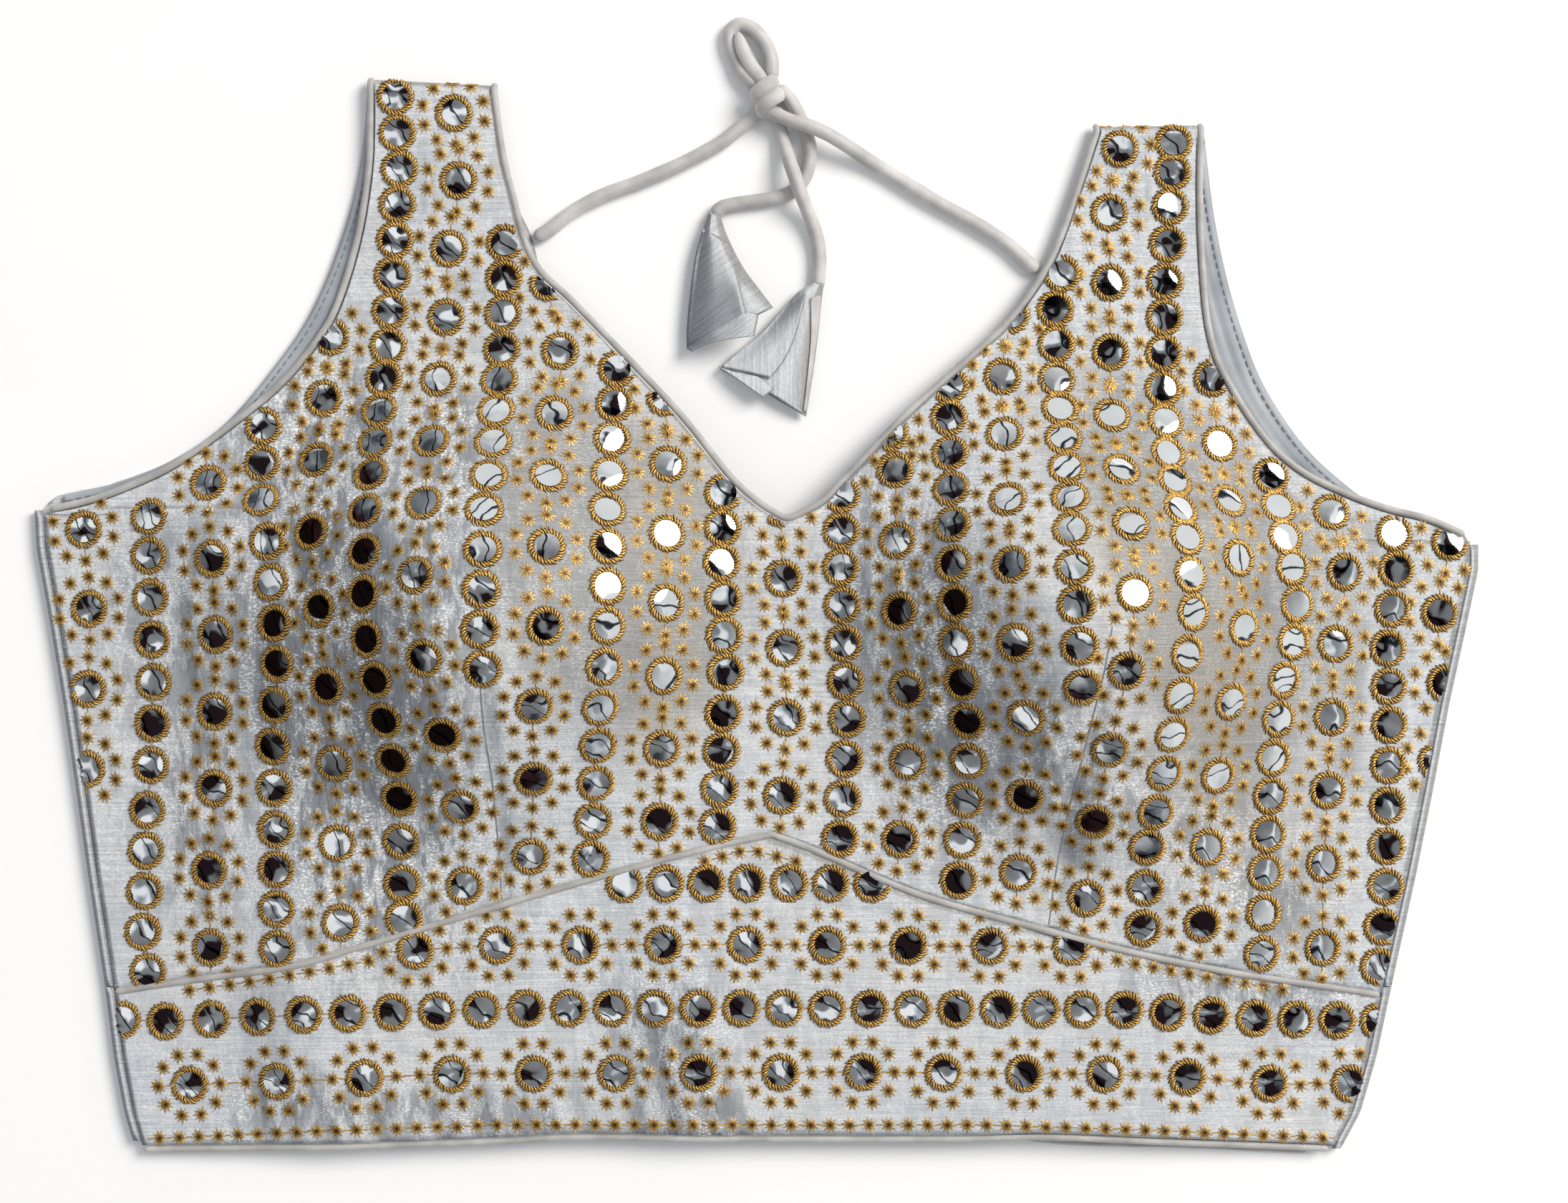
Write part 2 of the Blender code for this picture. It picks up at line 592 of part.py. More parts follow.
def underbust_piping(material):
    """Piping in the seam under the bust, a shallow arch with its peak at the centre front."""
    seam = split_spline(UNDERBUST_SEAM, CENTRE_SEAM_ROW, HALF_COLUMNS)
    line = [Vector((*point, front_height(*point) - PIPING_DROP)) for point in seam]
    return tube("underbust_piping", line, SEAM_PIPING_RADIUS, material)


def front_hem_piping(material):
    """Piping on the front's hem."""
    edge = spline(FRONT_HEM, 2 * HALF_COLUMNS)
    line = piping_line(edge, -SEAM_GAP - HEM_PIPING_RADIUS)
    return tube("front_hem_piping", line, HEM_PIPING_RADIUS, material)


def back_hem_binding(material):
    """The rolled edge of the back's hem, which shows below the front's from the middle on."""
    edge = offset(spline(BACK_HEM, 34), PIPING_RADIUS)[1:-1]
    return tube("back_hem_binding", [(*point, PIPING_RADIUS) for point in edge],
                PIPING_RADIUS, material)


def clear_of(points, others, distance):
    """The stretch of a cord's line whose round section keeps its distance from other lines."""
    kept = []
    for before, point, after in zip(points[:1] + points, points, points[1:] + points[-1:]):
        side = (after - before).cross(Vector((0.0, 0.0, 1.0))).normalized()
        up = side.cross(after - before).normalized()
        rim = [point + (side * math.cos(turn) + up * math.sin(turn)) * CORD_RADIUS
               for turn in (math.pi * step / 4 for step in range(8))]
        if all((place - other).length >= distance for place in rim + [point] for other in others):
            kept.append(point)
    return kept


def cord(name, route, material, knot=()):
    """A stretch of the silk cord along its route, cut off where it goes into the knot."""
    fine = clear_of(spline(route, 240), knot, CORD_RADIUS + SEAM_GAP)
    fine = [Vector((point.x, point.y, max(point.z, CORD_FLOOR))) for point in fine]
    length = sum((b - a).length for a, b in zip(fine, fine[1:]))
    count = max(round(length / CORD_STEP), 2)
    points = [fine[round(step * (len(fine) - 1) / count)] for step in range(count + 1)]
    return tube(name, points, CORD_RADIUS, material)


def knot_line():
    """Centre line of the knot, turns of the cord wound side by side round its own strands."""
    axis = Vector((math.cos(KNOT_TILT), math.sin(KNOT_TILT), 0.0))
    side = Vector((-axis.y, axis.x, 0.0))
    up = Vector((0.0, 0.0, 1.0))
    steps = round(12 * KNOT_TURNS)
    points = []
    for step in range(steps + 1):
        turn = 2 * math.pi * KNOT_TURNS * step / steps
        along = KNOT_PITCH * KNOT_TURNS * (step / steps - 0.5)
        points.append(Vector(KNOT_CENTRE) + axis * along
                      + (side * math.cos(turn) + up * math.sin(turn)) * KNOT_WRAP_RADIUS)
    return points


def latkan_grid(rings):
    """Sections of a flattened cone of folded silk, from the cord to its open mouth."""
    sides = 12
    grid = []
    for ring in rings:
        left = Vector((ring.left_x, ring.left_y, ring.left_z))
        right = Vector((ring.right_x, ring.right_y, ring.right_z))
        line = []
        for step in range(sides + 1):
            turn = 2 * math.pi * step / sides
            across = 0.5 - 0.5 * math.cos(turn)
            point = left.lerp(right, across)
            rise = 0.5 + 0.5 * math.sin(turn) * (1.0 - 0.1 * math.cos(2 * turn))
            point.z += ring.height * min(max(rise, 0.0), 1.0)
            line.append(point)
        grid.append(line)
    return grid


def latkan_body(name, rings, material):
    """A latkan's cone, a folded wall that is open at the mouth."""
    return cloth(name, (latkan_grid(rings),), LATKAN_WALL, material, flip=True)


def build():
    """Make every piece of the blouse."""
    for old in list(bpy.data.objects):
        bpy.data.objects.remove(old, do_unlink=True)
    dupion = silk("dupion_silk", (0.55, 0.58, 0.61), 0.42)
    lining = silk("lining_satin", (0.46, 0.50, 0.53), 0.6)
    bias = silk("piping_bias", (0.50, 0.51, 0.52), 0.55)
    front_bodice(dupion)
    front_band(dupion)
    for side in ("left", "right"):
        back_bodice(side, dupion)
        back_band(side, dupion)
        facing(side, lining)
        armhole_piping(side, bias)
    neck_piping(bias)
    underbust_piping(bias)
    front_hem_piping(bias)
    back_hem_binding(bias)
    knot = knot_line()
    tube("tie_knot", knot, CORD_RADIUS, bias)
    cord("dori_left", DORI_LEFT_ROUTE, bias, knot)
    cord("dori_right", DORI_RIGHT_ROUTE, bias, knot)
    cord("tie_loop", LOOP_ROUTE, bias, knot)
    cord("tie_inner_strand", INNER_STRAND_ROUTE, bias, knot + spline(LOOP_ROUTE, 120))
    cord("tail_left", TAIL_LEFT_ROUTE, bias, knot)
    cord("tail_right", TAIL_RIGHT_ROUTE, bias, knot)
    latkan_body("latkan_left", LATKAN_LEFT_RINGS, dupion)
    latkan_body("latkan_right", LATKAN_RIGHT_RINGS, dupion)


build()
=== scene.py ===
import math
from collections import namedtuple

import bpy
import numpy as np
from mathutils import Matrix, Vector


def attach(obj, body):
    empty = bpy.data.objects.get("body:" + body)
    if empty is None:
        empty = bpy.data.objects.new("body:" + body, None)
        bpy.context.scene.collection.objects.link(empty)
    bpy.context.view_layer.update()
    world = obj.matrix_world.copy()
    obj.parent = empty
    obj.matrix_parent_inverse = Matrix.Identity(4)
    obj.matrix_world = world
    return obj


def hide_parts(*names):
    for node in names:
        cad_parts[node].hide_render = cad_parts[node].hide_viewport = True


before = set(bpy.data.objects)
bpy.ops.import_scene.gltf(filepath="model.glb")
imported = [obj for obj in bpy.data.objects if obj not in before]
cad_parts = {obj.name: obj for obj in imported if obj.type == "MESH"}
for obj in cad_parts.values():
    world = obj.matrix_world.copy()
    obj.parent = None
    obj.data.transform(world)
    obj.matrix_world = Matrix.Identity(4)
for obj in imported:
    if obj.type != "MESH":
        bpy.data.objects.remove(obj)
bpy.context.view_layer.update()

# The camera. The blouse lies on a table and is seen from straight above, front up. The view is
# 2190 pixels wide, and one pixel is 0.2286 mm where the cloth meets the table.
MM = 0.001
PIXEL = 0.2286
VIEW_WIDE = 2190
VIEW_CENTRE = (1095.0, 840.0)
ORIGIN_PIXEL = (1056.5, 861.5)
CAMERA_HEIGHT = 850.0
CLOTH_LEVEL = 3.0
SENSOR = 36.0
CAMERA_X = (VIEW_CENTRE[0] - ORIGIN_PIXEL[0]) * PIXEL
CAMERA_Y = (ORIGIN_PIXEL[1] - VIEW_CENTRE[1]) * PIXEL

camera_lens = bpy.data.cameras.new("overhead_camera")
camera_lens.sensor_width = SENSOR
camera_lens.lens = SENSOR * (CAMERA_HEIGHT - CLOTH_LEVEL) / (VIEW_WIDE * PIXEL)
camera = bpy.data.objects.new("overhead_camera", camera_lens)
camera.location = Vector((CAMERA_X, CAMERA_Y, CAMERA_HEIGHT)) * MM
bpy.context.scene.collection.objects.link(camera)
bpy.context.scene.camera = camera
bpy.context.scene.view_settings.view_transform = "Standard"

# The table, a pale board without a pattern, and the studio's light: one soft lamp beyond the
# upper right corner, and pale walls all round, which the little mirrors pick up.
Lamp = namedtuple("Lamp", "x y z size power colour")
WINDOW_LAMP = Lamp(2600.0, 1700.0, 2900.0, 2200.0, 162.0, "#FFFAF3")
TABLE_HALF = 3000.0
TABLE_DROP = 0.2


def colour(code, alpha=1.0):
    """An sRGB hex colour as the linear values that a shader takes."""
    parts = [int(code[place:place + 2], 16) / 255 for place in (1, 3, 5)]
    linear = [part / 12.92 if part <= 0.04045 else ((part + 0.055) / 1.055) ** 2.4
              for part in parts]
    return (*linear, alpha)


def add_node(tree, kind, inputs=None, **settings):
    """Add a node with its settings. An input takes a value, or the socket that feeds it."""
    made = tree.nodes.new(kind)
    for name, value in settings.items():
        setattr(made, name, value)
    for name, value in (inputs or {}).items():
        if isinstance(value, bpy.types.NodeSocket):
            tree.links.new(value, made.inputs[name])
        else:
            made.inputs[name].default_value = value
    return made


def spaced(inputs):
    """Inputs given as keywords, named as the sockets are: a space for each underscore."""
    return {name.replace("_", " "): value for name, value in inputs.items()}


def noise(tree, place, size, **inputs):
    """Noise with a grain so many millimetres wide."""
    return add_node(tree, "ShaderNodeTexNoise",
                    {"Vector": place, "Scale": 1 / (size * MM), **inputs}).outputs["Fac"]


def ribbing(tree, place, period, **inputs):
    """Diagonal ribs, so many millimetres apart along x. The unscaled ones are pi / 5 apart."""
    return add_node(tree, "ShaderNodeTexWave",
                    {"Vector": place, "Scale": math.pi / (5 * period * MM), **spaced(inputs)},
                    bands_direction="DIAGONAL").outputs["Fac"]


def between(tree, value, low, high):
    """0 below the low value, 1 above the high one."""
    return add_node(tree, "ShaderNodeMapRange",
                    {"Value": value, "From Min": low, "From Max": high}).outputs["Result"]


def product(tree, first, second):
    """One value times another."""
    return add_node(tree, "ShaderNodeMath", {0: first, 1: second},
                    operation="MULTIPLY").outputs["Value"]


def toward(tree, direction, aim):
    """How far a direction points the way of an aim."""
    return add_node(tree, "ShaderNodeVectorMath", {0: direction, 1: aim},
                    operation="DOT_PRODUCT").outputs["Value"]


def blend(tree, factor, first, second, kind="MIX"):
    """One colour over another."""
    mixed = add_node(tree, "ShaderNodeMix", {"Factor": factor, "A": first, "B": second},
                     data_type="RGBA", blend_type=kind)
    return mixed.outputs["Result"]


def colour_steps(tree, factor, steps):
    """A colour ramp through (place, hex colour) steps."""
    ramp = add_node(tree, "ShaderNodeValToRGB", {"Fac": factor})
    stops = ramp.color_ramp.elements
    for index, (place, code) in enumerate(steps):
        stop = stops[index] if index < 2 else stops.new(place)
        stop.position = place
        stop.color = colour(code)
    return ramp.outputs["Color"]


def start_finish(name, **values):
    """A new material, its node tree, its shader with the even values, and the place on a piece."""
    finish = bpy.data.materials.new(name)
    finish.use_nodes = True
    tree = finish.node_tree
    shader = tree.nodes["Principled BSDF"]
    for socket, value in spaced(values).items():
        shader.inputs[socket].default_value = value
    return finish, tree, shader, add_node(tree, "ShaderNodeTexCoord").outputs["Object"]


def paint(tree, shader, painted):
    """Let a colour that varies be the shader's own."""
    tree.links.new(painted, shader.inputs["Base Color"])


def emboss(tree, shader, *layers):
    """Bumps one over another, each a height, its strength and its depth in millimetres."""
    below = {}
    for height, strength, depth in layers:
        bump = add_node(tree, "ShaderNodeBump", {"Height": height, "Strength": strength,
                                                 "Distance": depth * MM, **below})
        below = {"Normal": bump.outputs["Normal"]}
    tree.links.new(below["Normal"], shader.inputs["Normal"])


light = bpy.data.lights.new("window_lamp", "AREA")
light.shape = "DISK"
light.size = WINDOW_LAMP.size * MM
light.energy = WINDOW_LAMP.power
light.color = colour(WINDOW_LAMP.colour)[:3]
lamp = bpy.data.objects.new("window_lamp", light)
lamp.location = Vector((WINDOW_LAMP.x, WINDOW_LAMP.y, WINDOW_LAMP.z)) * MM
lamp.rotation_euler = (-lamp.location).to_track_quat("-Z", "Y").to_euler()
bpy.context.scene.collection.objects.link(lamp)

# Painted board: an even matt white with the faintest mottle.
board, tree, shader, place = start_finish("painted_board", Roughness=0.9)
mottle = add_node(tree, "ShaderNodeTexNoise", {"Vector": place, "Scale": 9.0}).outputs["Fac"]
paint(tree, shader, colour_steps(tree, mottle, ((0.3, "#FAFAFA"), (0.7, "#FCFCFC"))))
table_mesh = bpy.data.meshes.new("table")
half, low = TABLE_HALF * MM, -TABLE_DROP * MM
table_mesh.from_pydata([(-half, -half, low), (half, -half, low), (half, half, low), (-half, half, low)],
                       [], [(0, 1, 2, 3)])
table_mesh.materials.append(board)
table = bpy.data.objects.new("table", table_mesh)
bpy.context.scene.collection.objects.link(table)

# The walls of the room: pale where they light the cloth, and for what shines a white ceiling
# with thin dark beams, and brown furniture low down on the left and near side.
room = bpy.data.worlds.new("studio_room")
bpy.context.scene.world = room
room.use_nodes = True
tree = room.node_tree
tree.nodes.clear()
way = add_node(tree, "ShaderNodeTexCoord").outputs["Generated"]
parts = add_node(tree, "ShaderNodeSeparateXYZ", {"Vector": way})
wobble = add_node(tree, "ShaderNodeTexNoise", {"Vector": way, "Scale": 4.0, "Detail": 2.0,
                                               "Distortion": 0.4})
patches = add_node(tree, "ShaderNodeTexNoise", {"Vector": way, "Scale": 4.6, "Detail": 0.5,
                                                "Distortion": 0.5})
bands = add_node(tree, "ShaderNodeTexWave", {"Vector": way, "Scale": 2.6, "Distortion": 7.0,
                                             "Detail": 1.0, "Detail Scale": 1.0},
                 bands_direction="DIAGONAL")
beams = colour_steps(tree, bands.outputs["Fac"],
                     ((0.0, "#2A2E32"), (0.03, "#5A6066"), (0.06, "#FFFFFF"), (1.0, "#FFFFFF")))
ceiling = colour_steps(tree, patches.outputs["Fac"],
                       ((0.4, "#241A1C"), (0.42, "#5C5E60"), (0.44, "#7C7D7F"),
                        (0.57, "#929394"), (0.6, "#C4CCD3"), (0.63, "#FFFFFF")))
lean = add_node(tree, "ShaderNodeMath",
                {0: wobble.outputs["Fac"], 1: 0.9, 2: toward(tree, way, (0.8, 0.5, 0.0))},
                operation="MULTIPLY_ADD")
low_wall = colour_steps(tree, lean.outputs["Value"],
                        ((0.0, "#140C0C"), (0.14, "#341F22"), (0.26, "#4A5156"),
                         (0.42, "#83878A"), (0.62, "#B9BEC4"), (0.85, "#F4F4F2")))
shiny = blend(tree, between(tree, parts.outputs["Z"], 0.6, 0.82), low_wall, ceiling)
shiny = blend(tree, 1.0, shiny, beams, "MULTIPLY")
soft_back = add_node(tree, "ShaderNodeBackground", {"Color": colour("#E6E9ED"), "Strength": 0.63})
shiny_back = add_node(tree, "ShaderNodeBackground", {"Color": shiny, "Strength": 1.0})
plain_back = add_node(tree, "ShaderNodeBackground", {"Color": colour("#FFFFFF"), "Strength": 1.0})
ray = add_node(tree, "ShaderNodeLightPath")
lit = add_node(tree, "ShaderNodeMixShader", {0: ray.outputs["Is Glossy Ray"],
                                             1: soft_back.outputs[0], 2: shiny_back.outputs[0]})
seen = add_node(tree, "ShaderNodeMixShader", {0: ray.outputs["Is Camera Ray"],
                                              1: lit.outputs[0], 2: plain_back.outputs[0]})
add_node(tree, "ShaderNodeOutputWorld", {"Surface": seen.outputs[0]})

# The doris: tubes of the blouse's own silk, sewn shut and turned, that come off the back straps
# and meet in a knot with one loop. The two free ends cross below the knot, each to a latkan.
CORD_RADIUS = 2.25
CORD_FLOOR = CORD_RADIUS
CORD_OVER = 7.05
Route = namedtuple("Route", "x y z")
DORI_LEFT_ROUTE = (
    Route(-71.0, 121.0, CORD_FLOOR), Route(-66.6, 123.4, CORD_FLOOR),
    Route(-58.6, 129.6, CORD_FLOOR), Route(-48.6, 134.9, CORD_FLOOR),
    Route(-36.0, 139.6, CORD_FLOOR), Route(-24.0, 144.8, CORD_FLOOR),
    Route(-12.2, 151.0, CORD_FLOOR), Route(-6.4, 155.4, CORD_FLOOR),
    Route(0.6, 161.0, CORD_FLOOR), Route(3.6, 163.6, CORD_FLOOR),
)
DORI_RIGHT_ROUTE = (
    Route(90.2, 110.4, CORD_FLOOR), Route(86.6, 113.4, CORD_FLOOR),
    Route(79.9, 119.4, CORD_FLOOR), Route(69.6, 126.0, CORD_FLOOR),
    Route(57.5, 132.6, CORD_FLOOR), Route(44.0, 140.8, CORD_FLOOR),
    Route(36.0, 145.6, CORD_FLOOR + 0.6), Route(29.6, 149.4, CORD_OVER - 1.6),
    Route(22.6, 153.4, CORD_OVER), Route(16.6, 156.0, CORD_OVER),
    Route(10.4, 158.0, CORD_OVER - 0.2), Route(2.0, 161.8, CORD_OVER - 0.6),
)
LOOP_ROUTE = (
    Route(4.2, 168.0, CORD_FLOOR + 2.0), Route(4.9, 173.6, CORD_FLOOR + 1.2),
    Route(4.7, 178.6, CORD_FLOOR + 0.2),
    Route(2.8, 183.4, CORD_FLOOR), Route(-1.0, 187.8, CORD_FLOOR),
    Route(-5.4, 189.3, CORD_FLOOR), Route(-8.4, 186.8, CORD_FLOOR),
    Route(-8.2, 182.2, CORD_FLOOR), Route(-6.4, 177.4, CORD_FLOOR),
    Route(-3.9, 173.2, CORD_FLOOR + 1.0), Route(0.6, 168.6, CORD_FLOOR + 2.0),
)
TAIL_LEFT_ROUTE = (
    Route(6.4, 169.2, CORD_FLOOR), Route(10.2, 166.0, CORD_FLOOR),
    Route(13.2, 161.0, CORD_FLOOR), Route(15.4, 156.0, CORD_FLOOR),
    Route(16.9, 150.6, CORD_FLOOR), Route(16.8, 145.0, CORD_FLOOR),
    Route(15.2, 140.0, CORD_FLOOR), Route(12.0, 136.2, CORD_FLOOR),
    Route(6.3, 133.9, CORD_FLOOR), Route(-0.6, 132.8, CORD_FLOOR),
    Route(-6.6, 132.0, CORD_FLOOR), Route(-11.4, 130.6, CORD_FLOOR),
    Route(-13.6, 127.6, CORD_FLOOR),
)
TAIL_RIGHT_ROUTE = (
    Route(6.2, 163.0, CORD_FLOOR), Route(7.9, 154.8, CORD_FLOOR),
    Route(9.2, 149.6, CORD_FLOOR + 1.4), Route(10.7, 144.6, CORD_OVER - 1.0),
    Route(12.4, 139.6, CORD_OVER + 0.3), Route(14.0, 134.8, CORD_OVER + 0.3),
    Route(16.2, 129.6, CORD_OVER - 2.4), Route(18.4, 124.2, CORD_FLOOR + 0.7),
    Route(19.8, 118.6, CORD_FLOOR), Route(20.2, 113.0, CORD_FLOOR),
    Route(19.6, 104.6, CORD_FLOOR),
)
INNER_STRAND_ROUTE = (
    Route(-6.0, 186.4, CORD_FLOOR + 2.7), Route(-5.0, 182.6, CORD_FLOOR + 2.7),
    Route(-3.3, 178.4, CORD_FLOOR + 2.8), Route(-0.8, 174.4, CORD_FLOOR + 3.2),
    Route(1.6, 171.0, CORD_FLOOR + 3.4), Route(3.0, 167.4, CORD_FLOOR + 2.6),
)
KNOT_CENTRE = Route(3.4, 165.8, 5.8)
KNOT_TURNS = 2.0
KNOT_WRAP_RADIUS = 3.6
KNOT_PITCH = 4.3
KNOT_TILT = math.radians(115.0)
KNOT_AXIS = np.array((math.cos(KNOT_TILT), math.sin(KNOT_TILT), 0.0))
KNOT_HOLD = 0.9
KNOT_START = -0.5 * math.pi
KNOT_STEPS = 48
BAND_WIDE = 1.14
BAND_THIN = 0.85
UP = np.array((0.0, 0.0, 1.0))
SPLINE_STEPS = 12
CORD_RING = 20
CORD_STEP = 0.8
CORD_FINE_STEPS = 600
SEAM_SINK = 0.16
SEAM_TURN = 2 * math.pi * 0.12
SEAM_SPREAD = 0.2
SWELL = 0.02
SWELL_PACE = 0.31
DIMPLE = 0.008
DIMPLE_PACE = 0.83
TIP_SHARE = 0.04


def spline(points, count):
    """A smooth curve through the points, as count + 1 points spaced evenly along it."""
    knots = np.array(points, float)
    knots = np.vstack((2 * knots[0] - knots[1], knots, 2 * knots[-1] - knots[-2]))
    t = np.linspace(0.0, 1.0, SPLINE_STEPS, endpoint=False)[:, None]
    runs = [0.5 * (2 * b + (c - a) * t + (2 * a - 5 * b + 4 * c - d) * t ** 2
                   + (3 * b - a - 3 * c + d) * t ** 3)
            for a, b, c, d in zip(knots, knots[1:], knots[2:], knots[3:])]
    fine = np.vstack(runs + [knots[-2:-1]])
    lengths = line_lengths(fine)
    at = np.linspace(0.0, lengths[-1], count + 1)
    return np.stack([np.interp(at, lengths, column) for column in fine.T], 1)


def line_lengths(points):
    """How far along a line each of its points is."""
    steps = np.linalg.norm(np.diff(points, axis=0), axis=1)
    return np.concatenate(([0.0], np.cumsum(steps)))


def unit(vectors):
    """Vectors scaled to length 1."""
    return vectors / np.maximum(np.linalg.norm(vectors, axis=-1, keepdims=True), 1e-9)


def make_piece(name, points, faces, finish):
    """A piece of the blouse from points in millimetres, which rides on its one body."""
    mesh = bpy.data.meshes.new(name)
    mesh.from_pydata((np.asarray(points) * MM).tolist(), [], faces)
    mesh.materials.append(finish)
    mesh.shade_smooth()
    piece = bpy.data.objects.new(name, mesh)
    bpy.context.scene.collection.objects.link(piece)
    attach(piece, "root")
    return piece


def grid_faces(rows, columns, closed=False):
    """Faces of a grid of points, row by row. A closed grid joins each row's end to its start."""
    faces = []
    for row in range(rows - 1):
        for column in range(columns if closed else columns - 1):
            right = (column + 1) % columns
            a, b = row * columns + column, row * columns + right
            faces.append((a, b, b + columns, a + columns))
    return faces


def cord_tube(name, line, finish, radius=CORD_RADIUS, wide=1.0, thin=1.0, up=UP, seam=0.0, taper=1.0):
    """A sewn tube along a line, with a seam down one side and soft closed ends."""
    along = unit(np.gradient(line, axis=0))
    side = unit(np.cross(along, np.broadcast_to(up, along.shape)))
    top = np.cross(side, along)
    turn = np.linspace(0.0, 2 * math.pi, CORD_RING, endpoint=False)
    reach = radius * (1.0 - SEAM_SINK * seam * np.exp(-((turn - SEAM_TURN) / SEAM_SPREAD) ** 2))
    length = line_lengths(line)
    crush = 1.0 + SWELL * np.sin(length * SWELL_PACE) + DIMPLE * np.sin(length * DIMPLE_PACE + 1.0)
    ends = np.minimum(length / taper, length[-1] - length) / radius
    crush *= np.sqrt(np.clip(ends * (2 - ends), TIP_SHARE, 1.0) * (ends < 1) + (ends >= 1))
    crush = crush[:, None, None]
    points = (line[:, None, :] + side[:, None, :] * (np.cos(turn) * reach * wide)[None, :, None] * crush
              + top[:, None, :] * (np.sin(turn) * reach * thin)[None, :, None] * crush)
    faces = grid_faces(len(line), CORD_RING, closed=True)
    last = len(line) * CORD_RING
    faces += [tuple(range(CORD_RING))[::-1], tuple(range(last - CORD_RING, last))]
    return make_piece(name, points.reshape(-1, 3), faces, finish)


# Silk bias tube: the blouse's silk cut on the cross, so its ribs run round the tube at a slant
# and give it a soft, nearly matt grey with fine ribs. The ribs are drawn 0.7 mm apart, coarser
# than the real thread, so that they show.
SILK_IOR = 1.5
BIAS_RIB = 0.7


def bias_finish(name, dark, middle, light):
    """Bias-cut silk in three tones."""
    finish, tree, shader, place = start_finish(name, Roughness=0.55, IOR=SILK_IOR, Sheen_Weight=0.2,
                                               Sheen_Roughness=0.4)
    ribs = ribbing(tree, place, BIAS_RIB, Distortion=2.0, Detail=2.0, Detail_Scale=2.0)
    tone = add_node(tree, "ShaderNodeMix",
                    {"Factor": 0.05, "A": noise(tree, place, 9, Detail=5.0), "B": ribs})
    paint(tree, shader, colour_steps(tree, tone.outputs["Result"],
                                     ((0.3, dark), (0.5, middle), (0.72, light))))
    emboss(tree, shader, (ribs, 0.1, 0.04), (noise(tree, place, 6, Detail=3.0), 0.5, 0.6))
    return finish


bias_silk = bias_finish("silk_bias_tube", "#ADAAA8", "#C0BDBB", "#D4D1CF")
piping_silk = bias_finish("silk_bias_piping", "#9B9997", "#AEACA9", "#C3C1BE")


def knot_line():
    """Centre line of the knot, turns of the tube wound side by side round its own strands."""
    side = np.cross(UP, KNOT_AXIS)
    share = np.linspace(0.0, 1.0, round(KNOT_STEPS * KNOT_TURNS) + 1)[:, None]
    turn = KNOT_START + 2 * math.pi * KNOT_TURNS * share
    wrap = side * np.cos(turn) + UP * np.sin(turn)
    return (np.array(KNOT_CENTRE) + KNOT_AXIS * KNOT_PITCH * KNOT_TURNS * (share - 0.5)
            + wrap * KNOT_WRAP_RADIUS)


def up_to_knot(route):
    """A cord's line as far as the middle of the knot's wraps, where they hide it."""
    fine = spline(route, CORD_FINE_STEPS)
    away = np.linalg.norm(fine[:, None, :] - knot_line()[None, :, :], axis=2).min(1)
    clear = np.flatnonzero(away >= KNOT_HOLD)
    stretches = np.split(clear, np.flatnonzero(np.diff(clear) > 1) + 1)
    line = fine[max(stretches, key=len)]
    line[:, 2] = np.maximum(line[:, 2], CORD_FLOOR)
    return spline(line, max(round(line_lengths(line)[-1] / CORD_STEP), 4))


def free_cord(name, route, leaves):
    """A dori or a free end. It leaves from its first point."""
    line = up_to_knot(route)
    if leaves == "last":
        line = line[::-1]
    piece = cord_tube(name, line, bias_silk, seam=1.0)
    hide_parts(name.replace("_tube", ""))
    return piece


knot = cord_tube("tie_knot_wraps", knot_line(), bias_silk, wide=BAND_THIN, thin=BAND_WIDE,
                 up=KNOT_AXIS)
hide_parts("tie_knot")
inner_strand = cord_tube("tie_inner_strand_tube", up_to_knot(INNER_STRAND_ROUTE), bias_silk,
                         thin=0.8, taper=3.0)
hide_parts("tie_inner_strand")
free_cord("dori_left_tube", DORI_LEFT_ROUTE, "first")
free_cord("dori_right_tube", DORI_RIGHT_ROUTE, "first")
free_cord("tie_loop_tube", LOOP_ROUTE, "first")

# The latkans: squares of the silk folded to a flat cone round each cord's end and caught with
# small stitches at the top. Both lie mouth down, with a folded flap over the front.
Ring = namedtuple("Ring", "left_x left_y right_x right_y left_z right_z height")
LATKAN_LEFT_RINGS = (
    Ring(-15.4, 129.0, -11.6, 128.4, 0.4, 0.4, 4.6),
    Ring(-17.2, 123.0, -9.2, 121.4, 0.3, 0.6, 5.6),
    Ring(-18.9, 113.0, -4.6, 112.0, 0.2, 2.4, 6.2),
    Ring(-20.8, 101.0, 0.6, 104.4, 0.2, 5.6, 6.4),
    Ring(-22.3, 86.4, 5.4, 98.0, 0.2, 7.0, 6.4),
)
LATKAN_RIGHT_RINGS = (
    Ring(18.0, 106.6, 21.6, 106.4, 0.4, 0.4, 4.6),
    Ring(13.0, 103.4, 20.8, 101.0, 0.3, 0.3, 5.0),
    Ring(7.6, 97.0, 19.9, 92.0, 0.2, 0.2, 4.8),
    Ring(0.4, 88.6, 18.4, 80.0, 0.2, 0.2, 4.6),
    Ring(-10.0, 79.6, 15.9, 64.0, 0.2, 0.2, 4.4),
)
LATKAN_WALL = 0.7
LATKAN_SIDES = 56
LATKAN_ROWS = 40
Flap = namedtuple("Flap", "left right lift_left lift_right")
